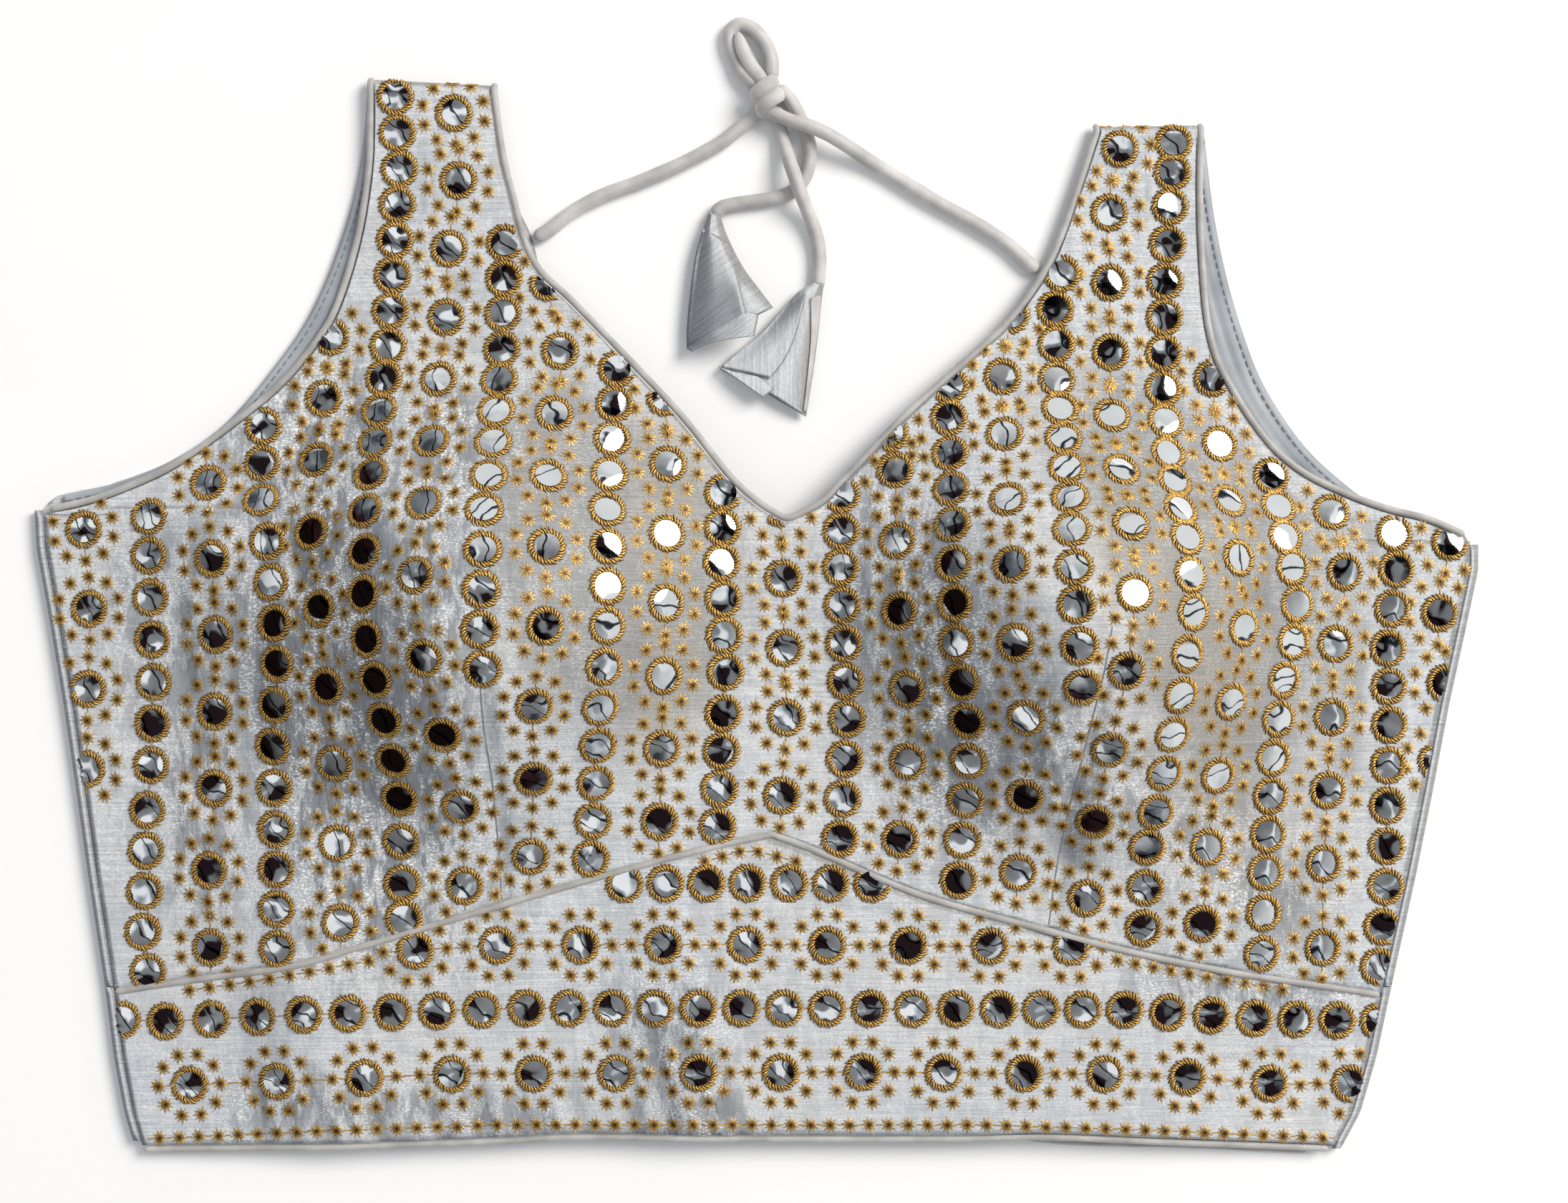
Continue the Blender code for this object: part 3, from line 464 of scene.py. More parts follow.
LATKAN_LEFT_FLAPS = (
    Flap(((-17.1, 123.8), (-19.4, 115.5), (-21.0, 104.7), (-22.2, 92.2), (-22.2, 85.4)),
         ((-8.3, 118.8), (-6.2, 110.6), (-4.9, 103.6), (-3.8, 98.4), (-2.9, 96.0)), 0.1, 1.3),
    Flap(((-22.2, 85.6), (-15.6, 89.4), (-8.6, 93.4), (-2.9, 96.2), (0.8, 95.4)),
         ((-20.4, 84.4), (-14.6, 86.6), (-9.4, 87.8), (-4.6, 88.4), (-0.6, 88.8)), 0.5, 0.9),
)
LATKAN_RIGHT_FLAPS = (
    Flap(((9.6, 99.6), (1.4, 90.6), (-6.8, 84.0), (-11.6, 79.6)),
         ((15.6, 103.0), (12.6, 90.4), (9.0, 82.0), (4.4, 76.0)), 0.1, 1.2),
    Flap(((-12.0, 79.8), (-5.0, 77.4), (0.8, 76.4), (5.6, 72.6)),
         ((-11.4, 78.8), (-6.0, 75.6), (-1.8, 72.6), (2.2, 69.9)), 0.5, 0.9),
)
FACING_STRIP = Flap(((17.4, 101.6), (17.4, 88.0), (15.8, 71.6), (15.0, 65.6)),
                    ((20.6, 102.6), (20.0, 94.4), (18.2, 81.0), (16.0, 65.0)), 0.9, 0.7)
FLAP_ROWS = 26
FLAP_COLUMNS = 16
LATKAN_SQUARENESS = 0.1
NEAR_SPREAD = 0.5

# Dupion silk: slubbed weft over a smooth warp, so it shines like soft metal, with uneven
# bright threads across it. Where it is crumpled, grey patches with white painted glints lie beside
# patches of painted flat grey shade. Slubs are drawn 0.5 mm thick and the glints' grain 0.4 mm, as the
# photo shows them. Slopes to the left and right are painted darker than the flat, as painted shade.
SLUB_LONG = 16.0
SLUB_THICK = 0.5
PATCH_WIDE = 6.0
PATCH_LONG = 15.0
GRAIN_LONG = 0.9
GRAIN_THICK = 0.38


def stretched_noise(tree, place, size_x, size_y, **inputs):
    """Noise with a grain of its own size along the weft (x) and along the warp (y)."""
    across = add_node(tree, "ShaderNodeMapping",
                      {"Vector": place, "Scale": (1 / (size_x * MM), 1 / (size_y * MM), 1 / (9 * MM))})
    return add_node(tree, "ShaderNodeTexNoise", {"Vector": across.outputs["Vector"], "Scale": 1.0,
                                                 **spaced(inputs)}).outputs["Fac"]


def noted(tree, name):
    """A value that each point of the cloth keeps."""
    return add_node(tree, "ShaderNodeAttribute", attribute_name=name).outputs["Fac"]


def dupion_finish(name, weft_turn=0.0):
    """Dupion silk with its weft turned so many degrees from the garment's width."""
    finish, tree, shader, place = start_finish(name, Roughness=0.5, IOR=SILK_IOR, Metallic=0.04,
                                               Specular_IOR_Level=0.22)
    turned = add_node(tree, "ShaderNodeMapping",
                      {"Vector": place, "Rotation": (0.0, 0.0, math.radians(weft_turn))})
    place = turned.outputs["Vector"]
    slubs = stretched_noise(tree, place, SLUB_LONG, SLUB_THICK, Detail=3.0, Roughness=0.6)
    weave = colour_steps(tree, slubs, ((0.28, "#C4C9CE"), (0.45, "#D9DDE2"), (0.6, "#E8EBEE"),
                                       (0.78, "#FFFFFF")))
    tint = colour_steps(tree, noise(tree, place, 45, Detail=3.0),
                        ((0.35, "#F3F4F5"), (0.7, "#FCF9F5")))
    weave = blend(tree, 1.0, weave, tint, "MULTIPLY")
    # Painted shade: the silk is painted darker on slopes to the left and right, according to the
    # surface's direction.
    normal = add_node(tree, "ShaderNodeNewGeometry").outputs["Normal"]
    slope = toward(tree, normal, (0.9, 0.35, 0.0))
    painted_slope_shade = colour_steps(tree, between(tree, slope, -0.5, 0.5),
                         ((0.05, "#A8AAAE"), (0.2, "#BFC1C4"), (0.38, "#FFFFFF"),
                          (0.54, "#FFFFFF"), (0.72, "#C6C4C1"), (0.95, "#B8B6B3")))
    weave = blend(tree, 1.0, weave, painted_slope_shade, "MULTIPLY")
    # Painted light: a cream tint is multiplied in on the listed areas that face the lamp.
    weave = blend(tree, noted(tree, "warm"), weave,
                  blend(tree, 1.0, weave, colour("#FDF3E4"), "MULTIPLY"))
    crumpled = noted(tree, "crumple")
    patch = stretched_noise(tree, place, PATCH_WIDE, PATCH_LONG, Detail=7.0, Roughness=0.72)
    # Painted glitter and painted shade: in crumpled places, grey patches with white painted glints on
    # their grain lie beside darker painted shade patches.
    lit = product(tree, between(tree, patch, 0.49, 0.53), crumpled)
    shaded_patch = product(tree, between(tree, patch, 0.5, 0.46), crumpled)
    grain = stretched_noise(tree, place, GRAIN_LONG, GRAIN_THICK, Detail=1.0)
    speckle = colour_steps(tree, grain, ((0.4, "#EEEFF0"), (0.6, "#FFFFFF")))
    weave = blend(tree, 1.0, weave, speckle, "MULTIPLY")
    glint = product(tree, between(tree, grain, 0.5, 0.64), lit)
    # The last of these mixes is painted shade, which grows darker the deeper a crease's trough is.
    for share, code in ((product(tree, shaded_patch, 0.85), "#7D8187"), (product(tree, lit, 0.5), "#A2A6AB"),
                        (glint, "#FFFFFF"), (product(tree, noted(tree, "trough"), 0.6), "#73777D")):
        weave = blend(tree, share, weave, colour(code))
    paint(tree, shader, weave)
    folds = stretched_noise(tree, place, 4.0, 9.0, Detail=2.0, Distortion=0.5)
    emboss(tree, shader, (slubs, 0.35, 0.22), (product(tree, grain, lit), 0.7, 0.35),
           (product(tree, folds, crumpled), 0.6, 2.2))
    return finish


dupion = dupion_finish("dupion_silk_woven")
left_silk = dupion_finish("dupion_silk_left_latkan", -33.0)
right_silk = dupion_finish("dupion_silk_right_latkan", 90.0)


def wall(piece, thickness):
    """Give a cloth shell its thickness, inwards from the outer face."""
    layer = piece.modifiers.new("wall", "SOLIDIFY")
    layer.thickness = thickness * MM
    layer.offset = -1.0


def sections(left, right, columns):
    """Rows of points, each from a point of one line to the point beside it on the other."""
    share = np.linspace(0.0, 1.0, columns + 1)[None, :, None]
    return left[:, None] * (1 - share) + right[:, None] * share


def laid_over(flap, upper):
    """A turned-over part of a latkan's square, laid on its upper face between two edges."""
    flat = sections(spline(flap.left, FLAP_ROWS), spline(flap.right, FLAP_ROWS), FLAP_COLUMNS)
    away = np.linalg.norm(flat[:, :, None, :] - upper[None, None, :, :2], axis=3)
    weight = 1.0 / (away ** 4 + NEAR_SPREAD)
    height = (weight * upper[:, 2]).sum(2) / weight.sum(2)
    share = np.linspace(0.0, 1.0, FLAP_COLUMNS + 1)
    lift = flap.lift_left + (flap.lift_right - flap.lift_left) * share ** 2
    return np.dstack((flat, height + lift))


def latkan(name, rings, flaps, finish, node_name):
    """A flattened cone of folded silk, closed round the cord, with its corners laid over it."""
    turn = np.linspace(0.0, 2 * math.pi, LATKAN_SIDES, endpoint=False)
    across = 0.5 - 0.5 * np.cos(turn)
    rise = np.clip(0.5 + 0.5 * np.sin(turn) * (1.0 - LATKAN_SQUARENESS * np.cos(2 * turn)), 0.0, 1.0)
    points = []
    for left_x, left_y, right_x, right_y, left_z, right_z, height in spline(rings, LATKAN_ROWS - 1):
        points.append(np.stack((left_x + (right_x - left_x) * across,
                                left_y + (right_y - left_y) * across,
                                left_z + (right_z - left_z) * across + height * rise), 1))
    upper = np.concatenate([row[np.sin(turn) > 0] for row in points])
    faces = [face[::-1] for face in grid_faces(LATKAN_ROWS, LATKAN_SIDES, closed=True)]
    faces.append(tuple(range(LATKAN_SIDES)))
    points = list(np.concatenate(points))
    for flap in flaps:
        start = len(points)
        points += list(laid_over(flap, upper).reshape(-1, 3))
        faces += [tuple(start + place for place in face[::-1])
                  for face in grid_faces(FLAP_ROWS + 1, FLAP_COLUMNS + 1)]
    piece = make_piece(name, points, faces, finish)
    wall(piece, LATKAN_WALL)
    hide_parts(node_name)
    return piece, upper


latkan_left, _ = latkan("latkan_left_cone", LATKAN_LEFT_RINGS, LATKAN_LEFT_FLAPS, left_silk,
                        "latkan_left")
latkan_right, upper = latkan("latkan_right_cone", LATKAN_RIGHT_RINGS, LATKAN_RIGHT_FLAPS,
                             right_silk, "latkan_right")
strip = laid_over(FACING_STRIP, upper)
latkan_lining = make_piece("latkan_right_lining", strip.reshape(-1, 3),
                           [face[::-1] for face in grid_faces(FLAP_ROWS + 1, FLAP_COLUMNS + 1)],
                           bias_silk)
wall(latkan_lining, LATKAN_WALL / 2)
free_cord("tail_left_tube", TAIL_LEFT_ROUTE, "first")
free_cord("tail_right_tube", TAIL_RIGHT_ROUTE, "first")

# The form of the front, as the maker cuts and pads it: a little air under the cloth, two padded
# cups and the large folds. The tables are the ones that the solids are made from.
FRONT_TOP = 4.4
FOLD_RADIUS = 2.2
FOLD_LIP = 1.0
SEAM_GAP = 0.3
LIFT_FADE = 80.0
Point = namedtuple("Point", "x y")
Across = namedtuple("Across", "left_x left_y right_x right_y")
Cup = namedtuple("Cup", "x y rise left right up down")
Lift = namedtuple("Lift", "y rise")
Fold = namedtuple("Fold", "x0 y0 x1 y1 width rise")
SIDES = (
    Across(-230.6, 34.0, 230.6, 23.0),
    Across(-230.0, 22.0, 230.6, 15.0),
    Across(-226.0, 0.0, 226.8, -3.0),
    Across(-221.5, -27.0, 221.3, -28.0),
    Across(-217.5, -54.0, 216.2, -55.0),
    Across(-213.6, -82.0, 210.8, -82.0),
    Across(-208.4, -116.0, 203.3, -116.0),
    Across(-205.2, -141.0, 198.2, -140.0),
    Across(-202.0, -158.0, 193.0, -158.0),
    Across(-198.6, -169.4, 185.6, -171.8),
)
FRONT_ARMHOLE_LEFT = (
    Point(-227.1, 32.6), Point(-213.9, 35.4), Point(-201.5, 39.6), Point(-184.8, 47.4),
    Point(-163.6, 62.5), Point(-150.1, 74.0), Point(-138.5, 88.0), Point(-132.0, 100.0),
    Point(-125.8, 120.4), Point(-122.4, 141.0), Point(-121.7, 156.0), Point(-121.7, 169.4),
)
FRONT_ARMHOLE_RIGHT = (
    Point(227.1, 24.0), Point(214.0, 29.8), Point(202.2, 32.8), Point(190.3, 36.9),
    Point(176.1, 43.5), Point(165.6, 51.2), Point(157.2, 61.4), Point(150.5, 72.0),
    Point(145.4, 82.0), Point(142.3, 95.0), Point(140.6, 115.0), Point(140.0, 135.0),
    Point(140.3, 154.8),
)
NECK_LEFT = (
    Point(9.5, 29.5), Point(0.2, 35.0), Point(-9.8, 44.2), Point(-24.5, 62.6),
    Point(-41.5, 80.8), Point(-59.2, 99.1), Point(-69.8, 109.2), Point(-75.2, 119.5),
    Point(-78.5, 132.0), Point(-82.2, 147.0), Point(-85.1, 167.5),
)
NECK_RIGHT = (
    Point(9.5, 29.5), Point(20.9, 35.0), Point(30.3, 44.3), Point(47.8, 62.6),
    Point(68.0, 80.7), Point(79.2, 90.8), Point(86.8, 100.0), Point(92.8, 109.0),
    Point(97.4, 118.3), Point(104.0, 136.7), Point(109.8, 154.2),
)
UNDERBUST_SEAM = (
    Point(-204.6, -119.5), Point(-177.7, -115.3), Point(-147.3, -110.6), Point(-126.8, -104.8),
    Point(-86.1, -92.7), Point(-40.6, -79.6), Point(-12.0, -72.2), Point(5.1, -68.7),
    Point(18.0, -73.4), Point(51.1, -87.5), Point(86.3, -97.6), Point(116.9, -105.5),
    Point(147.6, -112.0), Point(178.2, -117.2), Point(198.9, -120.5),
)
FRONT_HEM = (
    Point(-195.6, -168.4), Point(-166.1, -167.9), Point(-131.1, -167.0), Point(-81.5, -165.2),
    Point(-58.6, -164.0), Point(-12.9, -164.4), Point(60.0, -164.6), Point(93.4, -164.0),
    Point(137.0, -166.0), Point(182.6, -168.2),
)
LIFTS = (
    Lift(-172.0, 3.0), Lift(-142.0, 5.0), Lift(-118.0, 6.5), Lift(-75.0, 8.0), Lift(-20.0, 9.0),
    Lift(30.0, 8.0), Lift(80.0, 4.0), Lift(120.0, 1.0), Lift(150.0, 0.0), Lift(180.0, 0.0),
)
CUPS = (
    Cup(x=-90.0, y=2.0, rise=29.0, left=78.0, right=98.0, up=84.0, down=90.0),
    Cup(x=105.0, y=-1.0, rise=29.0, left=94.0, right=78.0, up=86.0, down=90.0),
)
FOLDS = (
    Fold(-166.0, 23.0, -146.0, -32.0, 15.0, 1.8), Fold(-26.0, -92.0, -20.0, -158.0, 14.0, 1.6),
    Fold(-146.0, -122.0, -134.0, -162.0, 14.0, 1.4), Fold(112.0, -62.0, 156.0, -98.0, 15.0, 1.8),
    Fold(-70.0, 92.0, -82.0, 42.0, 14.0, 1.4),
)


def smooth(t):
    """Ease from 0 to 1."""
    t = np.clip(t, 0.0, 1.0)
    return t * t * (3.0 - 2.0 * t)


def side_rows(side):
    """The side of the garment from the hem up, as rows of (y, x)."""
    if side == "left":
        return [(row.left_y, row.left_x) for row in reversed(SIDES)]
    return [(row.right_y, row.right_x) for row in reversed(SIDES)]


def side_edge(y, side):
    """X of the garment's outermost edge at a height, between the hem and the underarm."""
    heights, edges = zip(*side_rows(side))
    return np.interp(y, heights, edges)


def side_limit(y, side):
    """X of the front's edge at a height, on its side seam or its armhole."""
    left = side == "left"
    inward = (FOLD_RADIUS + FOLD_LIP) * (1 if left else -1)
    rows = [(height, edge + inward) for height, edge in side_rows(side)]
    rows += [(point.y, point.x) for point in (FRONT_ARMHOLE_LEFT if left
                                              else FRONT_ARMHOLE_RIGHT)[1:]]
    heights, edges = zip(*rows)
    return np.interp(y, heights, edges)


def ridge(x, y, x0, y0, x1, y1, width):
    """A soft ridge of height 1 along a straight line."""
    run_x, run_y = x1 - x0, y1 - y0
    t = np.clip(((x - x0) * run_x + (y - y0) * run_y) / (run_x ** 2 + run_y ** 2), 0.0, 1.0)
    away = np.hypot(x - x0 - run_x * t, y - y0 - run_y * t) / width
    return np.exp(-away * away)


def front_height(x, y):
    """Height of the front's outer face over the table, without the small creases."""
    inside = np.minimum(x - side_limit(y, "left"), side_limit(y, "right") - x)
    height = FRONT_TOP + smooth(inside / LIFT_FADE) * np.interp(
        y, [lift.y for lift in LIFTS], [lift.rise for lift in LIFTS])
    for cup in CUPS:
        across = (x - cup.x) / np.where(x > cup.x, cup.right, cup.left)
        along = (y - cup.y) / np.where(y > cup.y, cup.up, cup.down)
        reach = np.minimum(np.hypot(across, along), 1.0)
        height = height + cup.rise * (0.5 + 0.5 * np.cos(math.pi * reach))
    for fold in FOLDS:
        height = height + fold.rise * smooth(inside / (2 * fold.width)) * ridge(x, y, *fold[:5])
    return height


# Marking out the mirror work. Columns of mirrors alternate with columns of flowers, 19.5 mm
# apart, and the band has rows of both. Each column is charted at a few of its stitches, each a
# Stitch with its number from the top and its place in the photo's pixels. The rest lie between.
Stitch = namedtuple("Stitch", "number pixel_x pixel_y")
Column = namedtuple("Column", "name stitches")
COLUMNS = (
    Column("F0", ((0, 117, 739), (1, 125, 850), (3, 121, 1074))),
    Column("M1", ((0, 208, 721), (1, 208, 775), (4, 215, 952), (6, 211, 1068), (7, 206, 1131),
                  (10, 200, 1301), (11, 207, 1357))),
    Column("F2", ((0, 291, 674), (2, 301, 886), (4, 299, 1101), (5, 292, 1215), (6, 294, 1323))),
    Column("M3", ((0, 368, 595), (2, 365, 698), (3, 374, 756), (6, 387, 927), (8, 381, 1042),
                  (10, 385, 1158), (13, 387, 1325))),
    Column("F4", ((0, 462, 470), (2, 442, 642), (3, 435, 742), (6, 467, 1066), (8, 475, 1288))),
    Column("M5", ((0, 552, 135), (2, 558, 236), (7, 542, 483), (11, 518, 662), (12, 510, 713),
                  (14, 508, 829), (15, 512, 892), (18, 549, 1062), (19, 558, 1115),
                  (21, 562, 1234), (22, 564, 1283))),
    Column("F6", ((0, 634, 158), (1, 640, 252), (2, 627, 347), (3, 623, 443), (6, 592, 702),
                  (7, 580, 803), (8, 592, 919), (9, 618, 1026), (10, 643, 1126),
                  (11, 649, 1237))),
    Column("M7", ((0, 705, 339), (3, 701, 487), (6, 689, 617), (8, 676, 711), (11, 670, 879),
                  (12, 674, 934))),
    Column("F8", ((0, 765, 395), (1, 782, 490), (3, 766, 664), (4, 763, 763), (5, 761, 874),
                  (6, 746, 986), (7, 745, 1088), (8, 741, 1196))),
    Column("M9", ((0, 862, 515), (4, 848, 711), (5, 849, 763), (7, 848, 874), (9, 838, 988),
                  (13, 825, 1199))),
    Column("F10", ((0, 929, 555), (1, 933, 648), (3, 930, 842), (6, 921, 1147))),
    Column("M11", ((0, 1010, 688), (2, 1008, 785), (5, 1013, 938), (6, 1010, 996),
                   (9, 1002, 1154))),
    Column("F12", ((0, 1091, 710), (3, 1098, 1002), (4, 1092, 1111))),
    Column("M13", ((0, 1175, 690), (2, 1174, 792), (6, 1183, 1004), (9, 1173, 1171))),
    Column("F14", ((0, 1243, 605), (1, 1250, 656), (3, 1256, 853), (4, 1267, 962),
                   (5, 1268, 1063), (6, 1257, 1172))),
    Column("M15", ((0, 1326, 538), (1, 1325, 583), (4, 1330, 732), (7, 1335, 897),
                   (9, 1351, 1007), (10, 1353, 1062), (13, 1339, 1229))),
    Column("F16", ((0, 1412, 440), (1, 1400, 526), (2, 1403, 606), (4, 1413, 788),
                   (5, 1418, 897), (6, 1433, 1002), (7, 1431, 1112), (8, 1422, 1218))),
    Column("M17", ((0, 1483, 382), (1, 1474, 432), (3, 1476, 529), (7, 1495, 694),
                   (8, 1497, 739), (10, 1504, 844), (12, 1512, 960))),
    Column("F18", ((0, 1564, 208), (1, 1549, 297), (3, 1551, 492), (4, 1553, 580),
                   (6, 1580, 731), (7, 1585, 828), (8, 1574, 937), (9, 1550, 1047),
                   (10, 1529, 1147), (11, 1517, 1254))),
    Column("M19", ((0, 1639, 199), (1, 1637, 240), (2, 1634, 288), (4, 1627, 393),
                   (7, 1624, 543), (9, 1632, 633), (12, 1658, 750), (14, 1667, 855),
                   (16, 1649, 971), (19, 1614, 1134), (20, 1602, 1183), (22, 1597, 1296))),
    Column("F20", ((0, 1693, 528), (1, 1703, 620), (3, 1730, 779), (4, 1737, 877),
                   (6, 1701, 1083), (7, 1687, 1183), (8, 1679, 1290))),
    Column("M21", ((0, 1775, 665), (3, 1805, 792), (4, 1811, 844), (5, 1806, 896),
                   (6, 1793, 950), (8, 1778, 1058), (11, 1767, 1218), (13, 1762, 1332))),
    Column("F22", ((0, 1859, 715), (1, 1878, 799), (2, 1865, 899), (5, 1849, 1206),
                   (6, 1847, 1323))),
    Column("M23", ((0, 1947, 745), (1, 1950, 795), (3, 1938, 905), (5, 1940, 1012),
                   (9, 1935, 1238), (11, 1925, 1350))),
    Column("F24", ((0, 2025, 757), (1, 2010, 856), (2, 2018, 954), (3, 2006, 1063))),
)
BAND_ROWS = (
    Column("mirrors", ((0, 171, 1424), (1, 231, 1426), (4, 424, 1417), (9, 735, 1408),
                       (14, 1035, 1408), (20, 1395, 1409), (23, 1571, 1410), (26, 1752, 1422),
                       (29, 1925, 1426))),
    Column("flowers_low", ((0, 265, 1515), (3, 631, 1500), (8, 1205, 1497), (11, 1543, 1500),
                           (12, 1658, 1504), (13, 1773, 1513), (14, 1885, 1513))),
    Column("flowers_high", ((0, 580, 1327), (1, 695, 1320), (4, 1042, 1319), (8, 1496, 1322))),
    Column("mirrors_top", ((0, 872, 1234), (3, 1044, 1233), (6, 1218, 1234))),
    Column("stars_hem", ((0, 196, 1591), (9, 442, 1580), (18, 695, 1571), (43, 1378, 1571),
                         (51, 1600, 1578), (61, 1875, 1590))),
    Column("stars_left", ((0, 265, 1383), (4, 377, 1367), (9, 515, 1342))),
    Column("stars_right", ((0, 1561, 1341), (4, 1661, 1360), (9, 1791, 1382))),
    Column("stars_peak", ((0, 985, 1203), (2, 1033, 1189), (3, 1059, 1189), (5, 1112, 1203))),
)


def stitches(column):
    """Every stitch of a charted column or row, in the photo's pixels."""
    charted = [Stitch(*row) for row in column.stitches]
    numbers = [stitch.number for stitch in charted]
    at = np.arange(numbers[-1] + 1)
    return np.stack((np.interp(at, numbers, [stitch.pixel_x for stitch in charted]),
                     np.interp(at, numbers, [stitch.pixel_y for stitch in charted])), 1)


def under_pixel(pixels):
    """X and Y on the cloth that the camera sees at each pixel."""
    flat_x = (pixels[:, 0] - ORIGIN_PIXEL[0]) * PIXEL
    flat_y = (ORIGIN_PIXEL[1] - pixels[:, 1]) * PIXEL
    x, y = flat_x, flat_y
    for _ in range(8):
        share = (front_height(x, y) - CLOTH_LEVEL) / (CAMERA_HEIGHT - CLOTH_LEVEL)
        x = flat_x + (CAMERA_X - flat_x) * share
        y = flat_y + (CAMERA_Y - flat_y) * share
    return np.stack((x, y), 1)


Motif = namedtuple("Motif", "x y along_x along_y")


def mark_out(column):
    """The stitches of a column as places on the cloth, each with the column's direction."""
    places = under_pixel(stitches(column))
    along = unit(np.gradient(places, axis=0))
    return [Motif(*place, *way) for place, way in zip(places, along)]


marked = {column.name: mark_out(column) for column in COLUMNS + BAND_ROWS}
band_names = [row.name for row in BAND_ROWS]
mirror_columns = [name for name in marked if name[0] == "M" or name.startswith("mirrors")]
flower_columns = [name for name in marked if name[0] == "F" or name.startswith("flowers")]
star_rows = [name for name in marked if name.startswith("stars")]


def motifs_of(names, on_band):
    """The motifs of some columns, those of the band or those of the bodice."""
    return [motif for name in names if (name in band_names) == on_band for motif in marked[name]]


bodice_rings = motifs_of(mirror_columns + flower_columns, False)
band_rings = motifs_of(mirror_columns + flower_columns, True)
ring_motifs = bodice_rings + band_rings

# The front: one length of silk from the seam under the bust to both shoulders, cut out at the
# neck and armholes and folded over at the shoulder, and a waistband below it. The small creases
# are placed where the photo shows them.
FRONT_WALL = 0.9
SEAM_PIPING_RADIUS = 1.15
TUCK = 0.6
SIDE_GAP = 0.05
STITCH_FLAT = 6.6
STITCH_FADE = 3.4
EDGE_FADE = 6.0
CREASE_SHARE = 0.8
CRUMPLE_HEIGHT = 2.2
CRUMPLE_LEAST = 0.22
CRUMPLE_FULL = 0.26
WARM_SHARE = 0.5
WARM_CALM = 0.6
# How strongly the crease troughs are painted dark, as painted shade.
CREASE_SHADE_GAIN = 1.3
WELD_REACH = 0.15
Crease = namedtuple("Crease", "x0 y0 x1 y1 width depth")
CREASES = (
    Crease(-138.0, 58.0, -132.0, 22.0, 4.0, 0.9), Crease(-128.0, 62.0, -124.0, 30.0, 3.4, -0.8),
    Crease(-112.0, 70.0, -116.0, 34.0, 4.4, 0.9), Crease(-146.0, 30.0, -139.0, -2.0, 3.6, -0.9),
    Crease(-124.0, 16.0, -121.0, -14.0, 3.4, 1.0), Crease(-115.0, 8.0, -110.0, -34.0, 3.8, -0.9),
    Crease(-138.0, -12.0, -130.0, -44.0, 4.0, 1.0), Crease(-126.0, -34.0, -118.0, -62.0, 3.4, -0.8),
    Crease(-106.0, 22.0, -103.0, -12.0, 3.0, 0.7), Crease(-100.0, -30.0, -99.0, -74.0, 3.6, 0.8),
    Crease(-110.0, -66.0, -104.0, -92.0, 3.2, -0.6), Crease(-152.0, -42.0, -142.0, -78.0, 4.4, 0.8),
    Crease(-93.0, 30.0, -90.0, 6.0, 3.2, -0.6), Crease(-88.0, 40.0, -78.0, 82.0, 5.0, 1.0),
    Crease(-26.0, -128.0, -16.0, -158.0, 2.8, -0.9), Crease(-34.0, -126.0, -27.0, -162.0, 2.6, -0.8),
    Crease(-12.0, -138.0, -6.0, -162.0, 2.4, -0.7), Crease(-44.0, -134.0, -38.0, -162.0, 2.8, -0.7),
    Crease(-58.0, -146.0, -55.0, -162.0, 2.4, -0.6), Crease(-72.0, -148.0, -70.0, -163.0, 2.4, -0.6),
    Crease(-88.0, -150.0, -85.0, -164.0, 2.6, -0.7), Crease(-104.0, -148.0, -100.0, -165.0, 2.6, -0.6),
    Crease(-122.0, -150.0, -118.0, -166.0, 2.8, -0.7), Crease(-142.0, -144.0, -136.0, -166.0, 3.0, -0.6),
    Crease(-160.0, -146.0, -157.0, -166.0, 2.6, -0.5), Crease(130.0, -110.0, 136.0, -126.0, 3.0, -0.6),
    Crease(146.0, -112.0, 150.0, -127.0, 2.8, -0.7), Crease(160.0, -114.0, 166.0, -128.0, 3.0, -0.6),
    Crease(176.0, -117.0, 180.0, -130.0, 2.6, -0.5), Crease(84.0, -34.0, 120.0, -66.0, 4.4, 0.8),
    Crease(76.0, -48.0, 104.0, -82.0, 4.0, -0.7), Crease(60.0, -38.0, 86.0, -66.0, 4.2, 0.6),
    Crease(118.0, -44.0, 160.0, -70.0, 4.6, 0.8), Crease(128.0, -62.0, 172.0, -88.0, 4.2, -0.7),
    Crease(52.0, 28.0, 46.0, -20.0, 4.0, -0.6), Crease(62.0, 20.0, 56.0, -30.0, 4.6, 0.7),
    Crease(38.0, 34.0, 34.0, -8.0, 3.8, 0.6), Crease(-30.0, 44.0, -22.0, 4.0, 4.8, 0.6),
    Crease(-44.0, 24.0, -36.0, -24.0, 4.6, -0.5), Crease(184.0, 14.0, 176.0, -30.0, 4.8, 0.8),
    Crease(196.0, -6.0, 188.0, -48.0, 4.2, -0.6), Crease(168.0, 30.0, 158.0, 0.0, 4.6, -0.6),
    Crease(-196.0, 12.0, -188.0, -32.0, 4.4, 0.8), Crease(-184.0, 4.0, -176.0, -46.0, 4.2, -0.7),
    Crease(-206.0, -34.0, -196.0, -74.0, 4.0, 0.6), Crease(-178.0, -58.0, -168.0, -92.0, 4.4, 0.6),
    Crease(-104.0, 150.0, -106.0, 108.0, 3.6, 0.5), Crease(-96.0, 110.0, -100.0, 84.0, 3.8, -0.5),
    Crease(124.0, 140.0, 126.0, 96.0, 3.8, 0.5), Crease(112.0, 92.0, 116.0, 60.0, 4.2, -0.5),
)
# Painted light: areas that get a cream lamp-light tint, on slopes that face the lamp.
PAINTED_WARM_LIGHT_AREAS = (
    Fold(-30.0, 56.0, -28.0, -30.0, 17.0, 1.0), Fold(118.0, 20.0, 146.0, -48.0, 25.0, 1.0),
)
